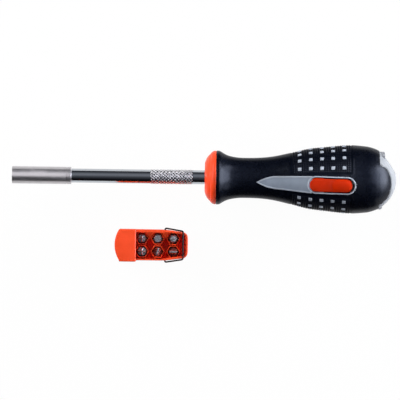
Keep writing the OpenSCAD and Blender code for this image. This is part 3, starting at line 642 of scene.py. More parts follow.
@dataclass
class Bench:
    """Where pieces are finished: it puts them in the row frame and on their bodies.

    Attributes:
        roll: Turn of the tool about its axis as it lies, in radians.
        made: Names of the finished pieces.
    """

    roll: float
    made: list[str] = field(default_factory=list)

    def tool(self) -> Matrix:
        """From the tool's millimetres to the row frame."""
        return Matrix.Rotation(self.roll, 4, "X") @ Matrix.Scale(MM, 4)

    def put(self, blank: Blank, name: str, finish: Finish | Sequence[Finish], body: str,
            nodes: Sequence[str] = (), place: Matrix | None = None, crease: float = 35.0) -> bpy.types.Object:
        """Finish a blank as a piece of the object.

        Args:
            blank: The shaped piece.
            name: The piece's name.
            finish: What it is made of, or a finish for each of its faces' material numbers.
            body: The body that it moves with.
            nodes: CAD nodes that it stands for.
            place: From the blank's millimetres to the row frame; the tool's own if not given.
            crease: Angle in degrees past which an edge stays sharp.

        Returns:
            The finished object.
        """
        bmesh.ops.transform(blank.bm, matrix=place or self.tool(), verts=blank.bm.verts)
        mesh = bpy.data.meshes.new(name)
        blank.bm.to_mesh(mesh)
        blank.bm.free()
        mesh.polygons.foreach_set("use_smooth", [True] * len(mesh.polygons))
        mesh.set_sharp_from_angle(angle=math.radians(crease))
        for layer in [finish] if isinstance(finish, Finish) else finish:
            mesh.materials.append(layer.material())
        piece = bpy.data.objects.new(name, mesh)
        bpy.context.scene.collection.objects.link(piece)
        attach(piece, body)
        if nodes:
            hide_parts(*nodes)
        self.made.append(name)
        LOG.info("%s: %d faces on %s", name, len(mesh.polygons), body)
        return piece

    def copy(self, node: str, merge: float = 0.002, flat: float = 0.8) -> Blank:
        """A CAD node's mesh as a blank, merged and with its flat faces whole.

        Args:
            node: The CAD node.
            merge: Distance in millimetres within which points are one.
            flat: Angle in degrees within which neighbouring faces are one.

        Returns:
            The blank, in millimetres of the row frame.
        """
        blank = Blank()
        blank.bm.from_mesh(frame["nodes"][node].data)
        bmesh.ops.scale(blank.bm, vec=(1 / MM, 1 / MM, 1 / MM), verts=blank.bm.verts)
        bmesh.ops.remove_doubles(blank.bm, verts=blank.bm.verts, dist=merge)
        bmesh.ops.dissolve_limit(blank.bm, angle_limit=math.radians(flat), use_dissolve_boundaries=False,
                                 verts=blank.bm.verts, edges=blank.bm.edges, delimit={"NORMAL"})
        return blank


@dataclass
class Spindle:
    """Bit holder and shaft, which turn in the handle.

    Attributes:
        holder_r: Radius of the bit holder.
        holder_len: Length of the bit holder.
        socket_af: Width across the flats of the bit socket.
        socket_depth: Depth of the bit socket.
        mouth: Depth of the socket's flared mouth.
        seat: Radius and length of the magnet's seat behind the socket.
        groove: Distance of the turned groove from the holder's rear end.
        shaft_r: Radius of the shaft.
        root: Where the shaft starts, inside the holder.
        shoulder: Where the shaft steps down inside the collar.
        tail: Journal, tail and circlip groove behind the shoulder, as distances and radii.
        knurl: Start and end of the knurled band.
        knurl_rise: Height of the knurl above the shaft.
        knurl_depth: Depth of the knurl's grooves.
        flank: Steepness of the diamonds' flanks.
        diamonds: Diamonds along and around the knurl.
        fineness: Steps along and around in each diamond.
    """

    holder_r: float = 5.5
    holder_len: float = 37.8
    socket_af: float = 6.45
    socket_depth: float = 13.0
    mouth: float = 0.75
    seat: tuple[float, float] = (2.65, 6.0)
    groove: float = 3.1
    shaft_r: float = 4.5
    root: float = 19.0
    shoulder: float = 124.9
    tail: tuple[tuple[float, float], ...] = (
        (124.9, 3.6), (136.0, 3.6), (136.0, 3.2), (136.15, 3.2), (136.15, 2.7), (137.05, 2.7), (137.05, 3.2),
        (144.5, 3.2), (145.0, 2.7), (145.0, 0.0))
    knurl: tuple[float, float] = (88.3, 115.0)
    knurl_rise: float = 0.15
    knurl_depth: float = 0.18
    flank: float = 2.2
    diamonds: tuple[int, int] = (12, 13)
    fineness: tuple[int, int] = (10, 12)

    @property
    def socket_r(self) -> float:
        """Distance from the middle of the bit socket to its corners."""
        return self.socket_af / 2 / math.cos(math.pi / 6)

    def build_holder(self, bench: Bench) -> None:
        """Turn the holder, then sink the hexagonal socket into its mouth.

        Args:
            bench: Where the piece is finished.
        """
        r, end, floor = self.holder_r, self.holder_len, self.socket_depth
        lip, bore_r = self.socket_r + 0.18, self.shaft_r + 0.02
        seat_r, seat_len = self.seat
        front = [(0.35, lip), (0.0, lip + 0.4), (0.0, r - 0.07), (0.02, r - 0.02), (0.07, r), (0.2, r)]
        notch = [(-0.15, 0.0), (0.0, 0.0), (0.06, 0.25), (0.12, 0.3), (0.4, 0.3), (0.46, 0.22), (0.52, 0.0),
                 (0.66, 0.0)]
        back = [(0.65, 0.0), (0.5, 0.0), (0.2, 0.08), (0.05, 0.25), (0.0, 0.45)]
        bore = [(end, bore_r), (floor + seat_len, bore_r), (floor + seat_len, seat_r), (floor, seat_r)]
        profile = [*front, *((end - self.groove + x, r - depth) for x, depth in notch),
                   *((end - x, r - depth) for x, depth in back), *bore]
        blank = Blank()
        blank.spin(profile, steps=96)
        rims = blank.rims()
        mouth = [e for e in rims if e.verts[0].co.x < self.mouth]
        seat = [e for e in rims if e not in mouth]
        corners = [blank.bm.verts.new(self.hexagon(k, self.mouth)) for k in range(6)]
        rim = [blank.bm.edges.new((corners[k], corners[k - 1])) for k in range(6)]
        walls = bmesh.ops.extrude_edge_only(blank.bm, edges=rim)["geom"]
        deep = [v for v in walls if isinstance(v, bmesh.types.BMVert)]
        bmesh.ops.translate(blank.bm, vec=(floor - self.mouth, 0, 0), verts=deep)
        base = [e for e in walls if isinstance(e, bmesh.types.BMEdge) and all(v in deep for v in e.verts)]
        bmesh.ops.bridge_loops(blank.bm, edges=mouth + rim)
        bmesh.ops.bridge_loops(blank.bm, edges=seat + base)
        bmesh.ops.recalc_face_normals(blank.bm, faces=blank.bm.faces)
        blank.bm.normal_update()
        bench.put(blank, "bit_holder_turned", Finishes.SATIN, "spindle", ["bit_holder"],
                  crease=28)

    def hexagon(self, corner: int, x: float) -> Vector:
        """A corner of the bit socket at a depth."""
        angle = math.radians(60 * corner)
        return Vector((x, self.socket_r * math.sin(angle), self.socket_r * math.cos(angle)))

    def knurl_height(self, x: float, angle: float) -> float:
        """Height of the knurl's diamonds.

        Args:
            x: Place along the shaft.
            angle: Angle about it in radians.

        Returns:
            Height from 0 in a groove to 1 on a point.
        """
        along, around = self.diamonds
        u = (x - self.knurl[0]) / (self.knurl[1] - self.knurl[0]) * along
        v = angle / (2 * math.pi) * around
        ridge = [1 - abs(2 * (t % 1.0) - 1) for t in (u + v, u - v)]
        return min(1.0, self.flank * min(ridge))

    def build_shaft(self, bench: Bench) -> None:
        """Turn the shaft, then roll the knurl into it.

        Args:
            bench: Where the piece is finished.
        """
        r, (start, end) = self.shaft_r, self.knurl
        rings, steps = (count * fine for count, fine in zip(self.diamonds, self.fineness))
        band = [(start + (end - start) * k / rings, r) for k in range(rings + 1)]
        count, margin, land, fade = 16, 1.2, 0.4, 0.5
        plain = [(self.root + k * (start - margin - self.root) / count, r) for k in range(count + 1)]
        profile = [(self.root, 0.0), *plain, (start - land, r), *band, (end + land, r), (self.shoulder, r),
                   *self.tail]
        blank = Blank()
        blank.spin(profile, steps)
        for vert in blank.bm.verts:
            x, y, z = vert.co
            edge = smoothstep(start - 0.01, start + fade, x) * smoothstep(end + 0.01, end - fade, x)
            reach = math.hypot(y, z)
            if edge > 0 and reach > 1:
                rise = self.knurl_rise - self.knurl_depth * (1 - self.knurl_height(x, math.atan2(y, z)))
                grow = 1 + rise * edge / reach
                vert.co = (x, y * grow, z * grow)
        # The knurl's faces take two copies of one steel: a lighter one on the points, partly bare rolled metal and
        # partly painted highlight, and a near-black one in the grooves, which is painted shade.
        for face in blank.bm.faces:
            x, y, z = face.calc_center_median()
            if start < x < end:
                face.material_index = 1 if self.knurl_height(x, math.atan2(y, z)) > 0.5 else 2
        finish = [Finishes.CHROME, Finishes.KNURL_AND_HIGHLIGHT, Finishes.KNURL_GROOVE_SHADE]
        bench.put(blank, "shaft_knurled", finish, "spindle", ["shaft"], crease=24)

    def build(self, bench: Bench) -> None:
        """Build the holder and the shaft."""
        self.build_holder(bench)
        self.build_shaft(bench)


@dataclass
class Collar:
    """Orange collar that selects the ratchet's direction.

    Attributes:
        start: Where its front face stands.
        length: Its length.
        rim_r: Its largest radius.
        face: Radius at distances behind the front face.
        crease: Place, depth and width of the groove where its face breaks into the rim band.
        bore_r: Radius of its bore.
        hollow: Radius of its hollow back and thickness of its front.
    """

    start: float = 122.8
    length: float = 7.2
    rim_r: float = 17.1
    face: Curve = Curve(((0.0, 9.1), (0.25, 10.0), (0.7, 11.2), (1.4, 12.7), (2.0, 13.5), (2.6, 14.2),
                         (3.3, 15.0), (3.9, 15.65), (4.5, 16.25), (5.2, 16.75), (6.3, 17.1)))
    crease: tuple[float, float, float] = (3.4, 0.24, 0.26)
    bore_r: float = 4.6
    hollow: tuple[float, float] = (9.95, 2.0)

    def radius(self, reach: float) -> float:
        """Radius at a distance behind the front face."""
        place, depth, width = self.crease
        return self.face.at(reach) - depth * math.exp(-(((reach - place) / width) ** 2))

    def build(self, bench: Bench) -> None:
        """Turn the collar with its dished face, crease and rim band.

        Args:
            bench: Where the piece is finished.
        """
        start, end, rim, bore = self.start, self.start + self.length, self.rim_r, self.bore_r
        hollow_r, front = self.hollow
        reaches = (0.12, 0.25, 0.45, 0.7, 1.0, 1.4, 1.8, 2.2, 2.6, 2.9, 3.1, 3.25, 3.4, 3.55, 3.7, 4.0, 4.4,
                   4.9, 5.4, 5.9, 6.3)
        profile = [(start + front, bore), (start + 0.35, bore), (start, bore + 0.35), (start, 8.6),
                   (start + 0.03, 9.0), *((start + reach, self.radius(reach)) for reach in reaches),
                   (end - 0.2, rim), (end - 0.05, rim - 0.05), (end, rim - 0.2), (end, hollow_r),
                   (start + front, hollow_r)]
        blank = Blank()
        blank.spin(profile, steps=120, closed=True)
        bench.put(blank, "collar_moulded", Finishes.ORANGE, "selector", ["selector_ring"],
                  crease=30)


@dataclass
class GripShape:
    """Outline of the grip as a smooth curve through its stations.

    Attributes:
        start: Front end of the grip.
        end: Rear end of the grip.
        lip: Radius of its front lip.
        tail: Radius of its rear end.
        curve: Radius along the tool.
    """

    start: float = 130.8
    end: float = 233.6
    lip: float = 17.2
    tail: float = 18.6
    curve: Curve = Curve(((130.8, 17.2), (132.2, 17.045), (135.3, 15.2), (139.1, 13.748), (147.0, 12.8),
                          (163.4, 13.55), (178.7, 16.7), (188.9, 19.2), (199.1, 20.4), (214.4, 21.8),
                          (226.0, 21.1), (229.6, 20.25), (231.9, 19.43), (233.6, 18.6)))

    def radius(self, x: float) -> float:
        """Radius of the grip at a place along the tool."""
        return self.curve.at(x)

    def lay(self, x: float, y: float, rise: float) -> Vector:
        """A point over the grip's surface on the button's side.

        Args:
            x: Place along the tool.
            y: Place across it.
            rise: Height over the surface.

        Returns:
            The point.
        """
        reach = self.radius(x) + rise
        return Vector((x, y, math.sqrt(max(reach * reach - y * y, 0.0))))


@dataclass
class Grip:
    """Soft grip with its field of pyramids and the square studs in it.

    Attributes:
        shape: Outline of the grip.
        segments: Steps round the grip; a pyramid takes one.
        first_stud: Place of the first column of studs.
        pitch: Length of a pyramid along the grip.
        cells: First and last row of pyramids, counted from the first column of studs.
        border: Steps from the middle of the plate to the first pyramids.
        sink: Depth of the valleys between the pyramids.
        peak: Height of a pyramid.
        skin: Thickness of the soft skin.
        reach: How far the skin reaches past the front and rear ends, up to the collar and the cap.
        studs: Columns of studs, and rows of them on each side.
        spacing: Pyramids from one stud to the next.
        lead: Pyramids from the field's edge to the first row of studs.
        stud: Side of a stud.
        stud_rise: Height of a stud above the surface.
        stud_root: Depth of a stud below the surface.
        stud_edge: Width of a stud's bevelled edges.
    """

    shape: GripShape = field(default_factory=GripShape)
    segments: int = 92
    first_stud: float = 182.8
    pitch: float = 1.416
    cells: tuple[int, int] = (-4, 24)
    border: int = 5
    sink: float = 0.3
    peak: float = 0.4
    skin: float = 1.6
    reach: tuple[float, float] = (0.74, 0.26)
    studs: tuple[int, int] = (5, 8)
    spacing: int = 5
    lead: int = 3
    stud: float = 2.28
    stud_rise: float = 0.1
    stud_root: float = 0.9
    stud_edge: float = 0.28

    @property
    def step(self) -> float:
        """Angle of one step round the grip, in degrees."""
        return 360.0 / self.segments

    def rings(self) -> list[tuple[float, float]]:
        """Profile of the soft skin, with a ring at each row of pyramids.

        Returns:
            Places along the tool and radii.
        """
        low, high = (self.first_stud + c * self.pitch for c in self.cells)
        flare = [self.shape.start + d for d in (0.25, 0.6, 1.0, 1.5, 2.1, 2.8, 3.6, 4.6, 5.8, 7.2, 8.8, 10.6)]
        count = 26
        neck = [flare[-1] + (low - flare[-1]) * (k + 1) / count for k in range(count)]
        rows = [low + self.pitch * (k + 1) for k in range(self.cells[1] - self.cells[0])]
        count = 13
        belly = [high + (self.shape.end - 0.35 - high) * (k + 1) / count for k in range(count)]
        skin = [(x, self.shape.radius(x)) for x in flare + neck + rows + belly]
        front, lip = self.shape.start - self.reach[0], self.shape.lip
        rear, tail = self.shape.end + self.reach[1], self.shape.tail
        return [(front, lip - 2.2), (front, lip - 0.8), (front + 0.05, lip - 0.35),
                (front + 0.17, lip - 0.12), (front + 0.36, lip - 0.02), *skin,
                (rear, tail - 0.11), (rear, tail - 1.2)]

    def cell(self, face: bmesh.types.BMFace) -> tuple[int, int]:
        """Column and row of the field that a face lies in, counted from its corner.

        Args:
            face: The face.

        Returns:
            The column and the row.
        """
        middle = face.calc_center_median()
        turn = abs(math.degrees(math.atan2(middle.y, middle.z)))
        column = math.floor((middle.x - self.first_stud) / self.pitch) - self.cells[0]
        row = math.floor(turn / self.step) - self.border
        return column, row

    def outside(self, face: bmesh.types.BMFace) -> bool:
        """Whether a face lies on the skin's outside."""
        x, y, z = face.calc_center_median()
        return math.hypot(y, z) > 0.97 * self.shape.radius(min(max(x, self.shape.start), self.shape.end))

    def in_field(self, column: int, row: int) -> bool:
        """Whether a cell belongs to the field of pyramids."""
        return 0 <= column < self.cells[1] - self.cells[0] and 0 <= row < self.segments // 2 - self.border

    def under_stud(self, column: int, row: int) -> bool:
        """Whether a stud stands on a cell."""
        beside = (column + self.cells[0]) % self.spacing in (0, self.spacing - 1)
        return beside and (row - self.lead + 1) % self.spacing in (0, 1)

    def build_skin(self, bench: Bench, plate: "SidePlate") -> None:
        """Spin the skin, cut the plate's window, thicken it and raise the pyramids.

        Args:
            bench: Where the piece is finished.
            plate: The plate that the window is for.
        """
        blank = Blank()
        bm = blank.bm
        blank.spin(self.rings(), self.segments)
        window = [f for f in bm.faces if plate.covers(f.calc_center_median(), margin=1.0)]
        bmesh.ops.delete(bm, geom=window, context="FACES")
        bm.normal_update()
        bmesh.ops.solidify(bm, geom=list(bm.faces), thickness=self.skin)
        field_cells = [f for f in bm.faces if self.outside(f) and self.in_field(*self.cell(f))
                       and len(f.verts) == 4]
        sunk = {v for f in field_cells for v in f.verts if all(n in field_cells for n in v.link_faces)}
        for vert in sunk:
            scale = 1 - self.sink / math.hypot(vert.co.y, vert.co.z)
            vert.co.y *= scale
            vert.co.z *= scale
        bm.normal_update()
        raised = [f for f in field_cells
                  if not self.under_stud(*self.cell(f)) and all(v in sunk for v in f.verts)]
        for face in field_cells:
            face.material_index = 1
        bmesh.ops.poke(bm, faces=raised, offset=self.peak, center_mode="MEAN", use_relative_offset=False)
        bm.normal_update()
        finish = [Finishes.RUBBER, Finishes.FIELD]
        bench.put(blank, "grip_skin", finish, "handle", ["grip_sleeve"], crease=26)

    def build_studs(self, bench: Bench) -> None:
        """Set the bevelled studs in the field.

        Args:
            bench: Where the piece is finished.
        """
        blank = Blank()
        half = self.stud / 2
        for column in range(self.studs[0]):
            x = self.first_stud + self.spacing * self.pitch * column
            tilt = math.atan(self.shape.radius(x + 0.5) - self.shape.radius(x - 0.5))
            seat = Matrix.Translation((x, 0, self.shape.radius(x))) @ Matrix.Rotation(-tilt, 4, "Y")
            for row in range(self.studs[1]):
                angle = math.radians((self.border + self.lead + self.spacing * row) * self.step)
                for side in (-1, 1):
                    made = blank.block((-half, -half, -self.stud_root), (half, half, self.stud_rise),
                                       self.stud_edge)
                    place = Matrix.Rotation(side * angle, 4, "X") @ seat
                    bmesh.ops.transform(blank.bm, matrix=place, verts=made)
        blank.bm.normal_update()
        bench.put(blank, "grip_studs_square", Finishes.STUD_GREY, "handle", ["grip_studs"])


@dataclass
class SidePlate:
    """Spear-shaped plate on the grip, with a raised rim and a bezel round the button.

    Attributes:
        shape: Outline of the grip that it lies on.
        tip: Place of its point.
        point: Length of its pointed end.
        half: Half width behind the point.
        end_half: Half width of its rear end.
        rear: Middle of its round rear end.
        window: Distance from its point to the window in the grip under it.
        rim: Width of its rim.
        rise: Height of its rim.
        bezel: Middles of the bezel's round ends.
        slot_r: Radius of the slot's round ends.
        bezel_w: Width of the bezel.
    """

    shape: GripShape = field(default_factory=GripShape)
    tip: float = 155.6
    point: float = 13.8
    half: float = 4.3
    end_half: float = 5.8
    rear: float = 213.2
    window: float = 2.0
    rim: float = 0.9
    rise: float = 0.46
    bezel: tuple[float, float] = (193.4, 212.95)
    slot_r: float = 4.92
    bezel_w: float = 0.84

    def half_at(self, x: float) -> float:
        """Half width of the plate at a place along the tool.

        Args:
            x: The place.

        Returns:
            The half width, 0 past the plate's ends.
        """
        if x <= self.tip:
            return 0.0
        if x < self.tip + self.point:
            t = (x - self.tip) / self.point
            return self.half * t * (2 - t)
        if x < self.rear:
            t = min(1.0, (x - self.tip - self.point) / (self.bezel[0] - self.tip - self.point))
            return self.half + (self.end_half - self.half) * t
        return math.sqrt(max(self.end_half ** 2 - (x - self.rear) ** 2, 0.0))

    def covers(self, at: Vector, margin: float) -> bool:
        """Whether the plate covers a point of the grip by a margin."""
        along = self.tip + self.window < at.x < self.rear + self.end_half - margin
        return at.z > 0 and along and abs(at.y) < self.half_at(at.x) - margin

    def edge(self, inset: float, share: float) -> tuple[float, float]:
        """A point on the plate's outline, drawn in by an inset.

        Args:
            inset: Distance in from the outline.
            share: Share of the way from the point back to the bezel.

        Returns:
            Place along the tool and half width.
        """
        back, draw, bend = self.bezel[0] - 2.5, 1.4 * inset, 0.45
        tip, reach = self.tip + draw, self.point - draw
        if share < bend:
            t = share / bend
            return tip + reach * t, (self.half - inset) * t * (2 - t)
        x = tip + reach + (back - tip - reach) * (share - bend) / (1 - bend)
        return x, self.half_at(x) - inset

    def build_spear(self, bench: Bench) -> None:
        """Bend a grid over the grip: skirt, rounded rim, sunk field.

        Args:
            bench: Where the piece is finished.
        """
        top = self.rise
        steps = [(-0.02, -1.5), (0.0, 0.0), (0.03, 0.2), (0.12, 0.38), (0.28, top), (0.62, top),
                 (0.76, top - 0.06), (0.86, top - 0.18), (0.92, top - 0.3), (1.05, top - 0.34)]
        inner, along = 8, 60
        rails = len(steps) * 2 + inner - 1

        def place(u: float, v: float) -> Vector:
            """A point of the plate at shares across and along it.

            Args:
                u: Share of the way across.
                v: Share of the way along.

            Returns:
                The point.
            """
            k = round(u * rails)
            side = 1 if k < rails / 2 else -1
            if k < len(steps) or k > rails - len(steps):
                inset, rise = steps[k if k < len(steps) else rails - k]
                x, half = self.edge(inset, v)
                return self.shape.lay(x, side * max(half, 0.0), rise)
            inset, rise = steps[-1]
            x, half = self.edge(inset, v)
            across = 1 - 2 * (k - len(steps) + 1) / (inner + 1)
            return self.shape.lay(x, half * across, rise)

        blank = Blank()
        blank.sheet(rails, along, place)
        blank.tidy()
        blank.close()
        for face in blank.bm.faces:
            at = face.calc_center_median()
            inside = abs(at.y) < self.half_at(at.x) - self.rim and at.x > self.tip + 2 * self.rim
            face.material_index = int(inside)
        finish = [Finishes.STUD_GREY, Finishes.BLUE_GREY]
        bench.put(blank, "side_plate_spear", finish, "handle", ["side_plate"], crease=32)

    def stadium(self, share: float, radius: float) -> tuple[float, float]:
        """A point on a round-ended outline about the button's slot.

        Args:
            share: Share of the way round.
            radius: Radius of its ends.

        Returns:
            Place along and across the tool.
        """
        x0, x1 = self.bezel
        quarter, t = divmod(share % 1.0 * 4, 1.0)
        if quarter == 0:
            return x0 + (x1 - x0) * t, radius
        if quarter == 2:
            return x1 - (x1 - x0) * t, -radius
        angle = math.pi / 2 - math.pi * t if quarter == 1 else -math.pi / 2 - math.pi * t
        middle = x1 if quarter == 1 else x0
        return middle + radius * math.cos(angle), radius * math.sin(angle)

    def build_bezel(self, bench: Bench) -> None:
        """Sweep the rounded bezel round the button's slot.

        Args:
            bench: Where the piece is finished.
        """
        inner, outer, top, around = self.slot_r, self.slot_r + self.bezel_w, 0.52, 96
        steps = [(outer + 0.02, -1.5), (outer, 0.05), (outer - 0.05, 0.3), (outer - 0.18, 0.46),
                 (outer - 0.4, top), (inner + 0.42, top), (inner + 0.2, 0.46), (inner + 0.06, 0.3),
                 (inner, 0.05), (inner, -3.0)]

        def place(u: float, v: float) -> Vector:
            """A point of the bezel at shares round it and over its section.

            Args:
                u: Share of the way round.
                v: Share of the way over the section.

            Returns:
                The point.
            """
            radius, rise = steps[round(v * (len(steps) - 1))]
            x, y = self.stadium(u, radius)
            return self.shape.lay(x, y, rise)

        blank = Blank()
        blank.sheet(around, len(steps) - 1, place)
        blank.tidy()
        bmesh.ops.bridge_loops(blank.bm, edges=blank.rims())
        blank.tidy()
        bench.put(blank, "button_bezel", Finishes.STUD_GREY, "handle", crease=40)

    def build(self, bench: Bench) -> None:
        """Build the spear and the bezel."""
        self.build_spear(bench)
        self.build_bezel(bench)


@dataclass
class ReleaseButton:
    """Orange rocker button with a raised thumb pad at its rear.

    Attributes:
        shape: Outline of the grip that it stands in.
        start: Front end.
        end: Rear end.
        half: Half width.
        front_rise: Height of its front part over the grip.
        shoulder: Drop and width of its rounded edge.
        dip: How far its front part falls towards the thumb pad.
        pad: Middle and half length of the thumb pad.
        pad_rise: Height of the thumb pad over the front part.
        pad_inset: Distance of the thumb pad from the sides.
        floor: Height of its underside over the tool's axis.
    """

    shape: GripShape = field(default_factory=GripShape)
    start: float = 189.1
    end: float = 216.4
    half: float = 4.36
    front_rise: float = 0.25
    shoulder: tuple[float, float] = (0.55, 0.7)
    dip: float = 0.3
    pad: tuple[float, float] = (210.0, 6.2)
    pad_rise: float = 1.25
    pad_inset: float = 0.25
    floor: float = 15.2

    def half_at(self, x: float) -> float:
        """Half width at a place along the tool."""
        reach = min(x - self.start, self.end - x)
        return math.sqrt(max(self.half ** 2 - max(self.half - reach, 0.0) ** 2, 0.0))

    def rise(self, x: float, y: float) -> float:
        """Height of the top over the grip.

        Args:
            x: Place along the tool.
            y: Place across it.

        Returns:
            Height of the top.
        """
        edge = min(self.half_at(x) - abs(y), x - self.start, self.end - x)
        drop, width = self.shoulder
        past = 1 - min(1.0, max(edge, 0.0) / width)
        shoulder = drop * (1 - math.sqrt(max(0.0, 1 - past ** 2)))
        middle, reach = self.pad
        oval = ((x - middle) / reach) ** 2 + (y / (self.half - self.pad_inset)) ** 2
        dome = math.sqrt(max(0.0, 1 - oval)) * self.pad_rise
        front = middle - reach
        fall = self.dip * smoothstep(front - 3.0, front + 0.5, x)
        return self.front_rise - shoulder - fall + dome

    def build(self, bench: Bench) -> None:
        """Bend a grid to the top and drop its skirt into the slot.

        Args:
            bench: Where the piece is finished.
        """
        across, along, skirt = 30, 96, 2

        def place(u: float, v: float) -> Vector:
            """A point of the button at shares across and along it.

            Args:
                u: Share of the way across.
                v: Share of the way along.

            Returns:
                The point.
            """
            k = round(u * (across + 2 * skirt)) - skirt
            share = min(1.0, max(-1.0, 2 * k / across - 1))
            spread = math.sin(share * math.pi / 2)
            x = self.start + (self.end - self.start) * (1 - math.cos(math.pi * v)) / 2
            y = self.half_at(x) * spread
            top = self.shape.lay(x, y, self.rise(x, y))
            if k < 0 or k > across:
                depth = -k if k < 0 else k - across
                top.z += (self.floor - top.z) * depth / skirt
            return top

        blank = Blank()
        blank.sheet(across + 2 * skirt, along, place)
        blank.tidy(merge=0.004)
        blank.close()
        bench.put(blank, "release_button_top", Finishes.DEEP_ORANGE, "button",
                  ["release_button"], crease=50)


@dataclass
class EndCap:
    """Domed end cap: pale bowl with raised lips, soft lobes, thumb ledge and hinge knuckle.

    Attributes:
        face: Where the cap meets the grip.
        dome: Middle of the dome.
        dome_r: Radius of the dome.
        wall: Thickness of the bowl.
        lobe_end: Rear end of the soft lobes.
        lobe_rise: Height of the lobes over the dome.
        high: Angle of a lobe's upper edge along the tool.
        low: Angle of a lobe's lower edge along the tool.
        lip: Distance of the raised lip from a lobe, its radius, and its height over the dome.
        ledge_r: Radius of the thumb ledge.
        ledge_len: Length of the thumb ledge.
        ledge_half: Half width of the thumb ledge.
        ledge_root: Radii inside the dome where the ledge's front and rear end.
        facet: Radius at which the facet meets the ledge's end.
        facet_turn: Turn of the facet in degrees.
        hinge: Place of the hinge along and across the tool.
        hinge_flat: Distance of the flat beside the hinge from its axis.
        knuckle: Radius and half width of the hinge's knuckle.
        arm: Length and height of the arm between the knuckle and the bowl.
    """

    face: float = 233.9
    dome: float = 224.2
    dome_r: float = 20.8
    wall: float = 3.4
    lobe_end: float = 241.2
    lobe_rise: float = 0.1
    high: Curve = Curve(((233.9, 44.0), (234.7, 41.5), (236.0, 40.6), (237.4, 39.8), (239.1, 33.3),
                         (240.1, 26.5), (240.75, 18.0), (241.2, 1.0)))
    low: Curve = Curve(((233.9, -51.0), (236.65, -47.0), (239.1, -41.0), (240.1, -32.0), (240.75, -21.0),
                        (241.2, -1.0)))
    lip: tuple[float, float, float] = (0.95, 0.62, 0.3)
    ledge_r: float = 17.9
    ledge_len: float = 3.4
    ledge_half: float = 6.0
    ledge_root: tuple[float, float] = (14.5, 13.6)
    facet: float = 14.0
    facet_turn: float = 36.0
    hinge: tuple[float, float] = (234.6, -17.0)
    hinge_flat: float = 0.4
    knuckle: tuple[float, float] = (1.5, 1.85)
    arm: tuple[float, float] = (2.0, 2.4)

    def ring(self, x: float, rise: float = 0.0) -> float:
        """Radius of the dome at a place along the tool."""
        return math.sqrt(max((self.dome_r + rise) ** 2 - (x - self.dome) ** 2, 0.0))

    def on_dome(self, x: float, angle: float, rise: float = 0.0) -> Vector:
        """A point over the dome at an angle from the button's side, in degrees."""
        ring, a = self.ring(x, rise), math.radians(angle)
        return Vector((x, ring * math.sin(a), ring * math.cos(a)))

    def trim(self, at: Vector) -> Vector:
        """Bring a point of the dome back to the thumb facet and to the hinge's flat.

        Args:
            at: The point.

        Returns:
            The trimmed point.
        """
        turn = math.radians(self.facet_turn)
        normal = Vector((math.cos(turn), math.sin(turn), 0.0))
        past = (at - Vector((self.face + self.ledge_len, self.facet, 0.0))).dot(normal)
        if past > 0:
            at = at - normal * past
        return Vector((at.x, max(at.y, self.hinge[1] + self.hinge_flat), at.z))

    def build_bowl(self, bench: Bench) -> None:
        """Spin the outside and the inside of the cap's bowl, and trim them.

        Args:
            bench: Where the piece is finished.
        """
        count, steps, inset = 32, 120, 0.12
        blank = Blank()
        profile = []
        for radius, order in ((self.dome_r - inset, -1), (self.dome_r - self.wall, 1)):
            span = math.acos((self.face - self.dome) / radius)
            arc = [(self.dome + radius * math.cos(span * k / count), radius * math.sin(span * k / count))
                   for k in range(count + 1)]
            profile += arc[::order]
        blank.spin(profile[:count + 1], steps)
        blank.spin([*profile[count + 1:], profile[0]], steps)
        blank.tidy()
        for vert in blank.bm.verts:
            vert.co = self.trim(vert.co)
        bench.put(blank, "cap_bowl", Finishes.PALE_GREY, "cap", ["end_cap"], crease=30)

    def build_ledge(self, bench: Bench) -> None:
        """Spin the thumb ledge, add the hinge's knuckle and round their edges.

        Args:
            bench: Where the piece is finished.
        """
        half = math.degrees(math.asin(self.ledge_half / self.ledge_r))
        start, end, (front, rear) = self.face, self.face + self.ledge_len, self.ledge_root
        blank = Blank()
        blank.spin([(start, front), (start, self.ledge_r), (end, self.ledge_r), (end, rear)], steps=18,
                   start=-90 - half, sweep=2 * half, closed=True)
        blank.close()
        radius, width = self.knuckle
        bmesh.ops.create_cone(blank.bm, cap_ends=True, segments=32, radius1=radius, radius2=radius,
                              depth=2 * width, matrix=Matrix.Translation((*self.hinge, 0.0)))
        low = Vector((self.face, self.hinge[1], -width))
        blank.block(low, low + Vector((*self.arm, 2 * width)))
        blank.soften(angle=50, width=0.35, segments=3)
        bench.put(blank, "thumb_ledge", Finishes.PALE_GREY, "cap", crease=22)

    def along_lobe(self, share: float) -> float:
        """Place along the tool at a share of a lobe's length, in ever shorter steps to its end."""
        return self.face + (self.lobe_end - self.face) * math.sin(math.pi / 2 * share)

    def edge(self, side: int, out: float, rise: float) -> list[Vector]:
        """Points along a lobe's edge, from the face round its end and back.

        Args:
            side: Which lobe, 1 on the button's side or -1.
            out: Distance out from the edge.
            rise: Height over the dome.

        Returns:
            The points.
        """
        count, clear = 40, 0.02
        places = [self.along_lobe(k / count) for k in range(count + 1)]
        path = [self.on_dome(x, self.low.at(x)) for x in places]
        path += [self.on_dome(x, self.high.at(x)) for x in reversed(places[:-1])]
        middle = Vector((self.dome, 0.0, 0.0))
        moved = []
        for k, at in enumerate(path):
            ahead = path[min(k + 1, len(path) - 1)] - path[max(k - 1, 0)]
            away = ahead.cross(at - middle).normalized()
            point = middle + (at + away * out - middle).normalized() * (self.dome_r + rise)
            point = self.trim(point)
            moved.append(Vector((max(point.x, self.face + clear), point.y, side * point.z)))
        return moved

    def build_lips(self, bench: Bench) -> None:
        """Run a raised lip round each lobe.

        Args:
            bench: Where the piece is finished.
        """
        blank = Blank()
        away, radius, rise = self.lip
        for side in (-1, 1):
            up = Vector((0.55, 0.0, 0.83 * side))
            blank.tube(self.edge(side, away, rise - radius), radius, sides=16, up=up)
        bench.put(blank, "cap_lips", Finishes.PALE_GREY, "cap", crease=60)

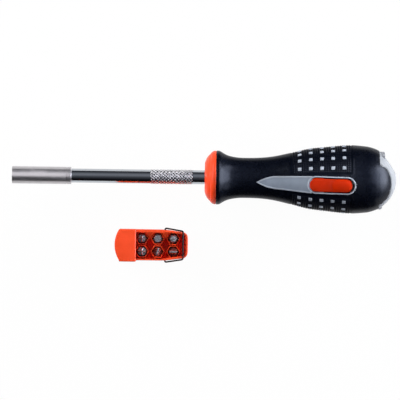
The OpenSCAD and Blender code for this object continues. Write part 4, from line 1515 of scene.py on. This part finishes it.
    def build_lobes(self, bench: Bench) -> None:
        """Bend a grid with rounded edges to each soft lobe.

        Args:
            bench: Where the piece is finished.
        """
        steps = [(0.0, -1.2), (0.02, -0.3), (0.08, -0.1), (0.2, 0.02), (0.4, 0.08)]
        inner, along = 36, 44
        rails = 2 * len(steps) + inner - 1
        blank = Blank()
        for side in (-1, 1):
            def place(u: float, v: float) -> Vector:
                """A point of the lobe at shares across and along it.

                Args:
                    u: Share of the way across.
                    v: Share of the way along.

                Returns:
                    The point.
                """
                x, k = self.along_lobe(v), round(u * rails)
                edge = min(k, rails - k)
                inset, rise = steps[min(edge, len(steps) - 1)]
                low, high = self.low.at(x), self.high.at(x)
                pull = min(math.degrees(inset / self.ring(x)), (high - low) / 2)
                if edge < len(steps):
                    angle = low + pull if k < rails / 2 else high - pull
                else:
                    angle = low + pull + (high - low - 2 * pull) * (k - len(steps) + 1) / (inner + 1)
                    rise = self.lobe_rise
                at = self.trim(self.on_dome(x, angle, rise))
                return Vector((at.x, at.y, side * at.z))

            blank.sheet(rails, along, place)
        blank.tidy(merge=0.01)
        blank.close()
        bench.put(blank, "cap_lobes", Finishes.RUBBER, "cap", ["cap_pads"], crease=40)

    def build(self, bench: Bench) -> None:
        """Build the cap's pieces.

        Args:
            bench: Where the pieces are finished.
        """
        self.build_bowl(bench)
        self.build_ledge(bench)
        self.build_lips(bench)
        self.build_lobes(bench)


@dataclass
class Magazine:
    """Orange bit magazine that lies beside the tool, with its wire bail and six bits.

    Attributes:
        aside: Place of its middle across the tool.
        ends: Its two ends along the tool.
        half: Half its width.
        end_r: Radius of its curved end.
        taper: Where it starts to taper, and how much each side draws in.
        corner: Length of its rounded corners.
        heights: Heights of its base, its rim and its head.
        head_end: Where the head ends.
        overhang: How far the head stands out over the far side, the near side and the curved end.
        crown: How far the head's top falls towards its curved end and towards its sides.
        wall: Thickness of its wall.
        lean: How much thicker the far wall is, and the near one thinner.
        lean_fades: Where that difference starts to fade along the tool, and where it ends.
        floor: Height of the tray's floor.
        crest: Height of the ridges round the pockets.
        pocket: Distance from the middle of a pocket to its corners.
        columns: Places of the pockets along the tool.
        row: Half the distance between the two rows of pockets.
        pivot: Place, half width and height of the bail's pivots.
        bar: Place, half width and height of the bail's cross bar.
        hook: Half width at the inner ends of the bail's wire.
        bend: Length of the wire's bends.
        wire_r: Radius of the bail's wire.
        gusset: Width, reach and fall of a gusset.
        gusset_tops: Height of the far and the near gussets at the wall.
        bits: CAD nodes of the bits.
        turned: The bit that stands turned in its pocket, and its turn in degrees.
    """

    aside: float = -43.6
    ends: tuple[float, float] = (66.0, 112.6)
    half: float = 9.85
    end_r: float = 18.5
    taper: tuple[float, float] = (98.1, 1.9)
    corner: float = 3.8
    heights: tuple[float, float, float] = (-21.8, 2.9, 4.4)
    head_end: float = 79.5
    overhang: tuple[float, float, float] = (0.1, 0.95, 0.1)
    crown: tuple[float, float] = (0.6, 0.25)
    wall: float = 1.45
    lean: float = 0.5
    lean_fades: tuple[float, float] = (95.0, 103.0)
    floor: float = -8.0
    crest: float = -0.1
    pocket: float = 3.81
    columns: tuple[float, ...] = (83.4, 93.4, 103.4)
    row: float = 4.15
    pivot: tuple[float, float, float] = (98.1, 10.9, 0.4)
    bar: tuple[float, float, float] = (109.6, 9.0, 3.5)
    hook: float = 8.9
    bend: float = 1.1
    wire_r: float = 0.5
    gusset: tuple[float, float, float] = (3.2, 4.2, 3.4)
    gusset_tops: tuple[float, float] = (2.4, -4.0)
    bits: tuple[str, ...] = ("cross_bit_small", "cross_bit_large", "hexagon_bit", "slotted_bit_small",
                             "slotted_bit_large", "six_lobe_bit")
    turned: tuple[str, float] = ("slotted_bit_small", 120.0)

    def place(self) -> Matrix:
        """From the magazine's millimetres to the row frame."""
        return Matrix.Translation((0, self.aside * MM, 0)) @ Matrix.Scale(MM, 4)

    def curved_end(self, y: float) -> float:
        """Place of the curved end at a distance from the middle."""
        return self.ends[0] + self.end_r - math.sqrt(self.end_r ** 2 - y * y)

    def inner(self, x: float) -> float:
        """Half width inside the wall at a place along the tool."""
        start, fall = self.taper
        return self.half - self.wall - fall * max(0.0, x - start) / (self.ends[1] - start)

    def tilt(self, x: float) -> float:
        """How far the inside is moved towards the near wall at a place along the tool."""
        return self.lean * (1 - smoothstep(*self.lean_fades, x))

    def plan(self, count: int) -> list[Vector]:
        """Outline of the body as evenly spaced points.

        Args:
            count: Number of points.

        Returns:
            The points.
        """
        (start, fall), end = self.taper, self.ends[1]
        steps = 8
        across = [self.half * (1 - k / steps) for k in range(2 * steps + 1)]
        arc = [Vector((self.curved_end(y), y, 0.0)) for y in across]
        sides = [(start, -self.half), (end, fall - self.half), (end, self.half - fall), (start, self.half)]
        corners = [*arc, *(Vector((x, y, 0.0)) for x, y in sides), arc[0]]
        return Blank.evenly(Blank.rounded(corners, self.corner, steps), count)

    def build_tray(self, blank: Blank) -> None:
        """Raise the rounded wall round the outline and lay the floor with its pockets.

        Args:
            blank: The magazine's body so far.
        """
        base, rim, _ = self.heights
        wall, count = self.wall, 180
        rails = [(0.5, base), (0.15, base + 0.15), (0.0, base + 0.5), (0.0, rim - 0.4), (0.05, rim - 0.2),
                 (0.17, rim - 0.05), (0.4, rim), (wall - 0.4, rim), (wall - 0.17, rim - 0.05),
                 (wall - 0.05, rim - 0.2), (wall, rim - 0.4), (wall, self.floor)]
        plan = self.plan(count)

        def place(u: float, v: float) -> Vector:
            """A point of the wall at shares round it and over its section.

            Args:
                u: Share of the way round.
                v: Share of the way over the section.

            Returns:
                The point.
            """
            k = round(u * count) % count
            inset, z = rails[round(v * (len(rails) - 1))]
            ahead = (plan[(k + 1) % count] - plan[k - 1]).normalized()
            inward = Vector((-ahead.y, ahead.x, 0.0))
            if inset > wall / 2:
                inset -= self.tilt(plan[k].x) * inward.y
            return plan[k] + inward * inset + Vector((0.0, 0.0, z))

        blank.sheet(count, len(rails) - 1, place)
        blank.tidy()
        rims = blank.rims()
        bottom = [e for e in rims if e.verts[0].co.z < self.floor - 1]
        bmesh.ops.holes_fill(blank.bm, edges=bottom, sides=0)
        floor = [e for e in rims if e not in bottom]
        for x in self.columns:
            for side in (-1, 1):
                floor += self.sink_pocket(blank, x, side * self.row)
        bmesh.ops.triangle_fill(blank.bm, use_beauty=True, edges=floor, normal=(0, 0, 1))
        bmesh.ops.recalc_face_normals(blank.bm, faces=blank.bm.faces)

    def sink_pocket(self, blank: Blank, x: float, y: float) -> list[bmesh.types.BMEdge]:
        """Sink a six-sided pocket with a raised ridge round it.

        Args:
            blank: The tray.
            x: Place of the pocket along the tool.
            y: Place of the pocket across the magazine.

        Returns:
            The edges where the ridge meets the floor.
        """
        reach, top = self.pocket, self.crest
        rings = [(reach + 0.72, self.floor), (reach + 0.62, top - 0.25), (reach + 0.45, top),
                 (reach + 0.16, top), (reach + 0.02, top - 0.2), (reach, self.heights[0] + 1.2)]
        loops = []
        for radius, z in rings:
            place = Matrix.Translation((x, y, z)) @ Matrix.Rotation(math.pi / 6, 4, "Z")
            ring = bmesh.ops.create_circle(blank.bm, cap_ends=False, radius=radius, segments=6,
                                           matrix=place)["verts"]
            for vert in ring:
                limit, tilt = self.inner(vert.co.x) - 0.05, self.tilt(vert.co.x)
                vert.co.y = min(limit - tilt, max(-limit - tilt, vert.co.y))
            loops.append(blank.edges_at(ring))
        blank.bridge(loops)
        bmesh.ops.holes_fill(blank.bm, edges=loops[-1], sides=0)
        return loops[0]

    def build_gussets(self, blank: Blank) -> None:
        """Fill the corners between the pockets and the walls with sloping gussets.

        Args:
            blank: The magazine's body so far.
        """
        (width, reach, fall), overlap = self.gusset, 0.2
        for x in ((a + b) / 2 for a, b in zip(self.columns, self.columns[1:])):
            for side, top in zip((1, -1), self.gusset_tops):
                wall = self.inner(x) - side * self.tilt(x) + overlap
                turn = Matrix.Rotation(math.pi * (1 + side) / 2, 4, "Z")
                made = bmesh.ops.create_cone(blank.bm, cap_ends=True, segments=3, radius1=width,
                                             radius2=width, depth=width, matrix=turn)["verts"]
                for vert in made:
                    inner = side * vert.co.y < 0
                    y = side * (wall - reach * inner)
                    z = top - fall * inner if vert.co.z > 0 else self.floor
                    vert.co = (x + vert.co.x, y, z)

    def build_head(self, blank: Blank) -> None:
        """Bend the head's crowned top, drop its sides and round its edges.

        Args:
            blank: The magazine's body so far.
        """
        base, _, top = self.heights
        half, (far, near, out) = self.half, self.overhang
        (fall, crown), lift = self.crown, 0.3

        def place(u: float, v: float) -> Vector:
            """A point of the head's top at shares across and along it.

            Args:
                u: Share of the way across.
                v: Share of the way along.

            Returns:
                The point.
            """
            y = -half - near + (2 * half + near + far) * u
            start = self.curved_end(min(abs(y), half)) - out
            x = start + (self.head_end - start) * v
            return Vector((x, y, top - fall * (1 - v) ** 2 - crown * (2 * u - 1) ** 2))

        head = Blank()
        head.sheet(across=24, along=14, place=place)
        drop = bmesh.ops.extrude_edge_only(head.bm, edges=head.rims())["geom"]
        for vert in (v for v in drop if isinstance(v, bmesh.types.BMVert)):
            vert.co.z = base + lift
        head.close()
        head.soften(angle=45, width=0.55, segments=3)
        blank.join(head)

    def build_bail(self, bench: Bench) -> None:
        """Bend the bail from round wire.

        Args:
            bench: Where the piece is finished.
        """
        (px, py, pz), (bx, by, bz) = self.pivot, self.bar
        corners = [Vector((px, self.hook, pz)), Vector((px, py, pz)), Vector((bx, by, bz))]
        corners += [Vector((c.x, -c.y, c.z)) for c in reversed(corners)]
        blank = Blank()
        path = Blank.rounded(corners, self.bend, steps=6)
        blank.tube(path, self.wire_r, sides=16, up=Vector((0.0, 0.0, 1.0)))
        bench.put(blank, "bail_wire", Finishes.DARK_WIRE, "bail", ["wire_bail"],
                  self.place(), crease=60)

    def build(self, bench: Bench) -> None:
        """Build the body, the bail and the bits.

        Args:
            bench: Where the pieces are finished.
        """
        blank = Blank()
        self.build_tray(blank)
        self.build_gussets(blank)
        self.build_head(blank)
        # The body takes the brightened copy of the orange moulding, which is painted light.
        bench.put(blank, "magazine_moulded", Finishes.ORANGE_PAINTED_LIGHT, "magazine",
                  ["magazine_body"], self.place(), crease=38)
        self.build_bail(bench)
        for node in self.bits:
            blank = bench.copy(node)
            if node == self.turned[0]:
                middle = sum((v.co for v in blank.bm.verts), Vector()) / len(blank.bm.verts)
                turn = Matrix.Rotation(math.radians(self.turned[1]), 3, "Z")
                bmesh.ops.rotate(blank.bm, cent=middle, matrix=turn, verts=blank.bm.verts)
            blank.soften(angle=32, width=0.22)
            bench.put(blank, node + "_ground", Finishes.BIT, node, [node],
                      Matrix.Scale(MM, 4), crease=30)


@dataclass
class Spring:
    """Coil spring with closed ends.

    Attributes:
        name: The piece's name.
        node: The CAD node that it stands for.
        body: The body that it moves with.
        coils: Lower end, direction and length of each coil in the tool's millimetres.
        coil_r: Radius of the coil.
        wire_r: Radius of its wire.
        turns: Its open turns.
    """

    name: str
    node: str
    body: str
    coils: list[tuple[Vector, Vector, float]]
    coil_r: float
    wire_r: float
    turns: float

    def path(self, foot: Vector, up: Vector, length: float) -> list[Vector]:
        """Points along the wire of one coil.

        Args:
            foot: Middle of its lower end.
            up: Its direction.
            length: Its length.

        Returns:
            The points.
        """
        side, low = Vector((0.0, 1.0, 0.0)), self.wire_r
        other = up.cross(side)
        closed, steps, lift = 0.75, 28, 2.4 * low
        last = self.turns + 2 * closed
        rise = Curve(((0.0, low), (closed, lift), (last - closed, length - lift), (last, length - low)))
        points = []
        for k in range(round(last * steps) + 1):
            angle = 2 * math.pi * k / steps
            arm = side * math.cos(angle) + other * math.sin(angle)
            points.append(foot + up * rise.at(k / steps) + arm * self.coil_r)
        return points

    def build(self, bench: Bench) -> bpy.types.Object:
        """Wind every coil of the piece.

        Args:
            bench: Where the piece is finished.

        Returns:
            The finished object.
        """
        blank = Blank()
        for foot, up, length in self.coils:
            blank.tube(self.path(foot, up, length), self.wire_r, sides=10, up=up)
        return bench.put(blank, self.name, Finishes.WIRE, self.body, [self.node], crease=60)


@dataclass
class Works:
    """The solids that keep their own shape: the handle's core and what turns inside it."""

    def dress(self) -> None:
        """Give every node that still shows the finish of its slot."""
        for part in frame["record"]["subparts"]:
            node = frame["nodes"][part["node"]]
            if not node.hide_render:
                node.data.materials.clear()
                node.data.materials.append(Finishes.BY_SLOT[part["material_slot"]].material())
                LOG.info("%s: %s", part["node"], part["material_slot"])


@dataclass
class Studio:
    """White table, soft lamps and the camera over it.

    Attributes:
        table: Height of the table in metres.
        table_half: Half the side of the table in metres.
        thin: Thickness of the card on the table, and how far the table lies under it, in metres.
        middle: Point under the camera in metres.
        height: Height of the camera over the tool's axis in metres.
        width: Width of the picture at that height in metres.
        roll: Turn of the camera in degrees.
        white: How much of the table's white doesn't depend on the lamps.
        zenith: Direction from which the room is brightest.
    """

    table: float = -0.0218
    table_half: float = 8.0
    thin: float = 0.0002
    middle: tuple[float, float] = (0.1200, -0.0145)
    height: float = 2.4
    width: float = 0.2552
    roll: float = 0.79
    white: float = 0.97
    zenith: tuple[float, float, float] = (0.0, 0.38, 0.925)

    def build_table(self) -> None:
        """Lay the table, white to the eye and in reflections, with the lamps' shadow on it."""
        blank = Blank()
        bmesh.ops.create_grid(blank.bm, x_segments=1, y_segments=1, size=self.table_half,
                              matrix=Matrix.Translation((0, 0, self.table - self.thin)))
        mesh = bpy.data.meshes.new("table")
        blank.bm.to_mesh(mesh)
        blank.bm.free()
        paper = bpy.data.materials.new("table_paper")
        paper.use_nodes = True
        shader = Shader(paper.node_tree)
        seen = [shader.node("ShaderNodeLightPath", out=ray) for ray in
                ("Is Camera Ray", "Is Glossy Ray", "Is Transmission Ray")]
        share = seen[0].math("MAXIMUM", seen[1]).math("MAXIMUM", seen[2]) * self.white
        matt = shader.node("ShaderNodeBsdfDiffuse", None, {"Color": (0.9, 0.9, 0.9, 1.0)})
        glow = shader.node("ShaderNodeEmission", None, {"Color": (1.0, 1.0, 1.0, 1.0), "Strength": 1.0})
        cover = shader.node("ShaderNodeMixShader", None, {0: share, 1: matt, 2: glow})
        shader.node("ShaderNodeOutputMaterial", None, {"Surface": cover})
        mesh.materials.append(paper)
        table = bpy.data.objects.new("table", mesh)
        bpy.context.scene.collection.objects.link(table)

    def build_room(self) -> None:
        """Light the room softly from above and behind, and keep its sides dark."""
        world = bpy.data.worlds.new("room")
        world.use_nodes = True
        shader = Shader(world.node_tree)
        ray = shader.node("ShaderNodeTexCoord", out="Generated")
        up = shader.node("ShaderNodeVectorMath", {"operation": "DOT_PRODUCT"}, {0: ray, 1: self.zenith},
                         out="Value")
        tone = shader.node("ShaderNodeValToRGB", {"stops": [
            (0.0, (0.006, 0.006, 0.007)), (0.3, (0.01, 0.01, 0.012)), (0.55, (0.038, 0.04, 0.048)),
            (0.8, (0.075, 0.08, 0.092)), (0.93, (0.165, 0.172, 0.192)), (1.0, (0.255, 0.265, 0.295)),
        ]}, {0: up})
        sky = shader.node("ShaderNodeBackground", None, {"Color": tone, "Strength": 1.0})
        shader.node("ShaderNodeOutputWorld", None, {"Surface": sky})
        bpy.context.scene.world = world

    def build_lamp(self, name: str, at: Sequence[float], size: Sequence[float], power: float,
                   tint: Colour) -> None:
        """Hang a soft lamp that faces the tool.

        Args:
            name: The lamp's name.
            at: Its place in metres.
            size: Width and height of its face in metres.
            power: Its power in watts.
            tint: Its colour.
        """
        lamp = bpy.data.lights.new(name, "AREA")
        lamp.shape = "RECTANGLE"
        lamp.size, lamp.size_y = size
        lamp.energy = power
        lamp.color = tint
        holder = bpy.data.objects.new(name, lamp)
        holder.location = at
        aim = Vector((*self.middle, 0.0)) - Vector(at)
        holder.rotation_euler = aim.to_track_quat("-Z", "Y").to_euler()
        bpy.context.scene.collection.objects.link(holder)

    def build_card(self, name: str, low: Sequence[float], high: Sequence[float], tone: Colour) -> None:
        """Set up a card that shows only in reflections.

        Args:
            name: The card's name.
            low: Its lowest corner in metres.
            high: Its highest corner in metres.
            tone: Its brightness.
        """
        card = bpy.data.materials.new(name)
        card.use_nodes = True
        shader = Shader(card.node_tree)
        glow = shader.node("ShaderNodeEmission", None, {"Color": (*tone, 1.0), "Strength": 1.0})
        shader.node("ShaderNodeOutputMaterial", None, {"Surface": glow})
        blank = Blank()
        blank.block(low, high)
        mesh = bpy.data.meshes.new(name)
        blank.bm.to_mesh(mesh)
        blank.bm.free()
        mesh.materials.append(card)
        holder = bpy.data.objects.new(name, mesh)
        holder.visible_camera = holder.visible_diffuse = holder.visible_shadow = False
        bpy.context.scene.collection.objects.link(holder)

    def cards(self) -> list[tuple[str, Sequence[float], Sequence[float], Colour]]:
        """The cards, seen only in reflections: dark ones beside the grip that paint shade into its reflections, a
        grey one on the table under the handle that paints the tool's shadow into reflections, a white one over the
        holder and bright ones that paint highlights.

        Returns:
            Name, lowest corner, highest corner and brightness of each.
        """
        low = self.table
        return [
            # Dark cards beside the grip: painted shade in the grip's reflections.
            ("card_far", (0.128, 0.06, low), (0.262, 0.061, 0.03), (0.06, 0.062, 0.075)),
            ("card_near", (0.128, -0.062, low), (0.262, -0.061, 0.03), (0.025, 0.025, 0.03)),
            # Grey sheet under the handle: painted shadow of the tool, seen only in reflections.
            ("card_under", (0.131, -0.061, low), (0.262, 0.06, low + self.thin), (0.62, 0.62, 0.64)),
            ("card_over", (-0.03, -0.008, 0.03), (0.0368, 0.0185, 0.0305), (1.0, 0.99, 1.02)),
            ("card_flare", (0.214, -0.034, 0.045), (0.215, 0.05, 0.135), (10.6, 10.6, 11.6)),
            ("card_flare_far", (0.214, 0.05, 0.03), (0.215, 0.17, 0.12), (6.6, 6.6, 7.4)),
            ("card_flare_near", (0.214, -0.12, 0.03), (0.215, -0.034, 0.12), (2.2, 2.2, 2.5)),
            ("card_rear", (0.9, -0.2, 0.43), (0.91, 0.7, 1.0), (3.6, 3.7, 4.3)),
            ("card_lobe", (0.8, -0.12, 0.03), (0.81, 0.5, 0.4), (16.0, 16.2, 17.5)),
            ("card_lobe_near", (0.8, -0.3, 0.03), (0.81, -0.12, 0.4), (8.0, 8.1, 8.8)),
            ("card_lobe_low", (0.8, -0.52, 0.03), (0.81, -0.3, 0.4), (1.2, 1.25, 1.4)),
        ]

    def build_camera(self) -> None:
        """Set the camera over the table, looking straight down."""
        lens = bpy.data.cameras.new("camera")
        lens.sensor_fit = "HORIZONTAL"
        lens.angle = 2 * math.atan(self.width / 2 / self.height)
        camera = bpy.data.objects.new("camera", lens)
        camera.location = (*self.middle, self.height)
        camera.rotation_euler = (0.0, 0.0, math.radians(self.roll))
        bpy.context.scene.collection.objects.link(camera)
        bpy.context.scene.camera = camera

    def build(self) -> None:
        """Set up the table, the light and the camera."""
        self.build_table()
        self.build_room()
        for card in self.cards():
            self.build_card(*card)
        self.build_lamp("lamp_left", at=(-0.72, 0.35, 0.5), size=(1.2, 0.5), power=15.0,
                        tint=(1.0, 0.98, 0.97))
        self.build_lamp("lamp_right", at=(1.05, 0.2, 0.22), size=(0.9, 0.42), power=19.5,
                        tint=(0.95, 0.96, 1.0))
        self.build_camera()
        bpy.context.scene.view_settings.view_transform = "Standard"


def main() -> None:
    """Build every piece in order, dress the rest and set up the studio."""
    logging.basicConfig(level=logging.INFO, format="%(message)s")
    axis = next(j["axis"] for j in frame["joints"] if j["name"] == "button_press")
    bench = Bench(roll=math.atan2(axis[2], axis[1]))
    plate = SidePlate()
    grip = Grip()
    Spindle().build(bench)
    Collar().build(bench)
    grip.build_skin(bench, plate)
    grip.build_studs(bench)
    plate.build(bench)
    ReleaseButton().build(bench)
    EndCap().build(bench)
    Magazine().build(bench)
    up, back = Vector((0.0, 0.0, 1.0)), Vector((1.0, 0.0, 0.0))
    plungers = [(Vector((128.4, 0.0, side * 11.5)), up * side, 2.3) for side in (-1, 1)]
    Spring("plunger_coils", "plunger_springs", "selector", plungers, coil_r=0.63, wire_r=0.13,
           turns=3.0).build(bench)
    detent = [(Vector((132.25, 12.0, 0.0)), back, 3.0)]
    Spring("detent_coil", "detent_spring", "handle", detent, coil_r=1.0, wire_r=0.16, turns=3.5).build(bench)
    foot = Vector((211.0, 0.0, 11.17))
    coil = Spring("button_coil", "button_spring", "handle", [(foot, up, 5.0)], coil_r=1.45, wire_r=0.26,
                  turns=4.5).build(bench)
    seat = bench.tool() @ foot
    bench.tool().to_3x3() @ up
    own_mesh(coil)
    Works().dress()
    Studio().build()
    LOG.info("%d pieces", len(bench.made))


if __name__ == "__main__":
    main()
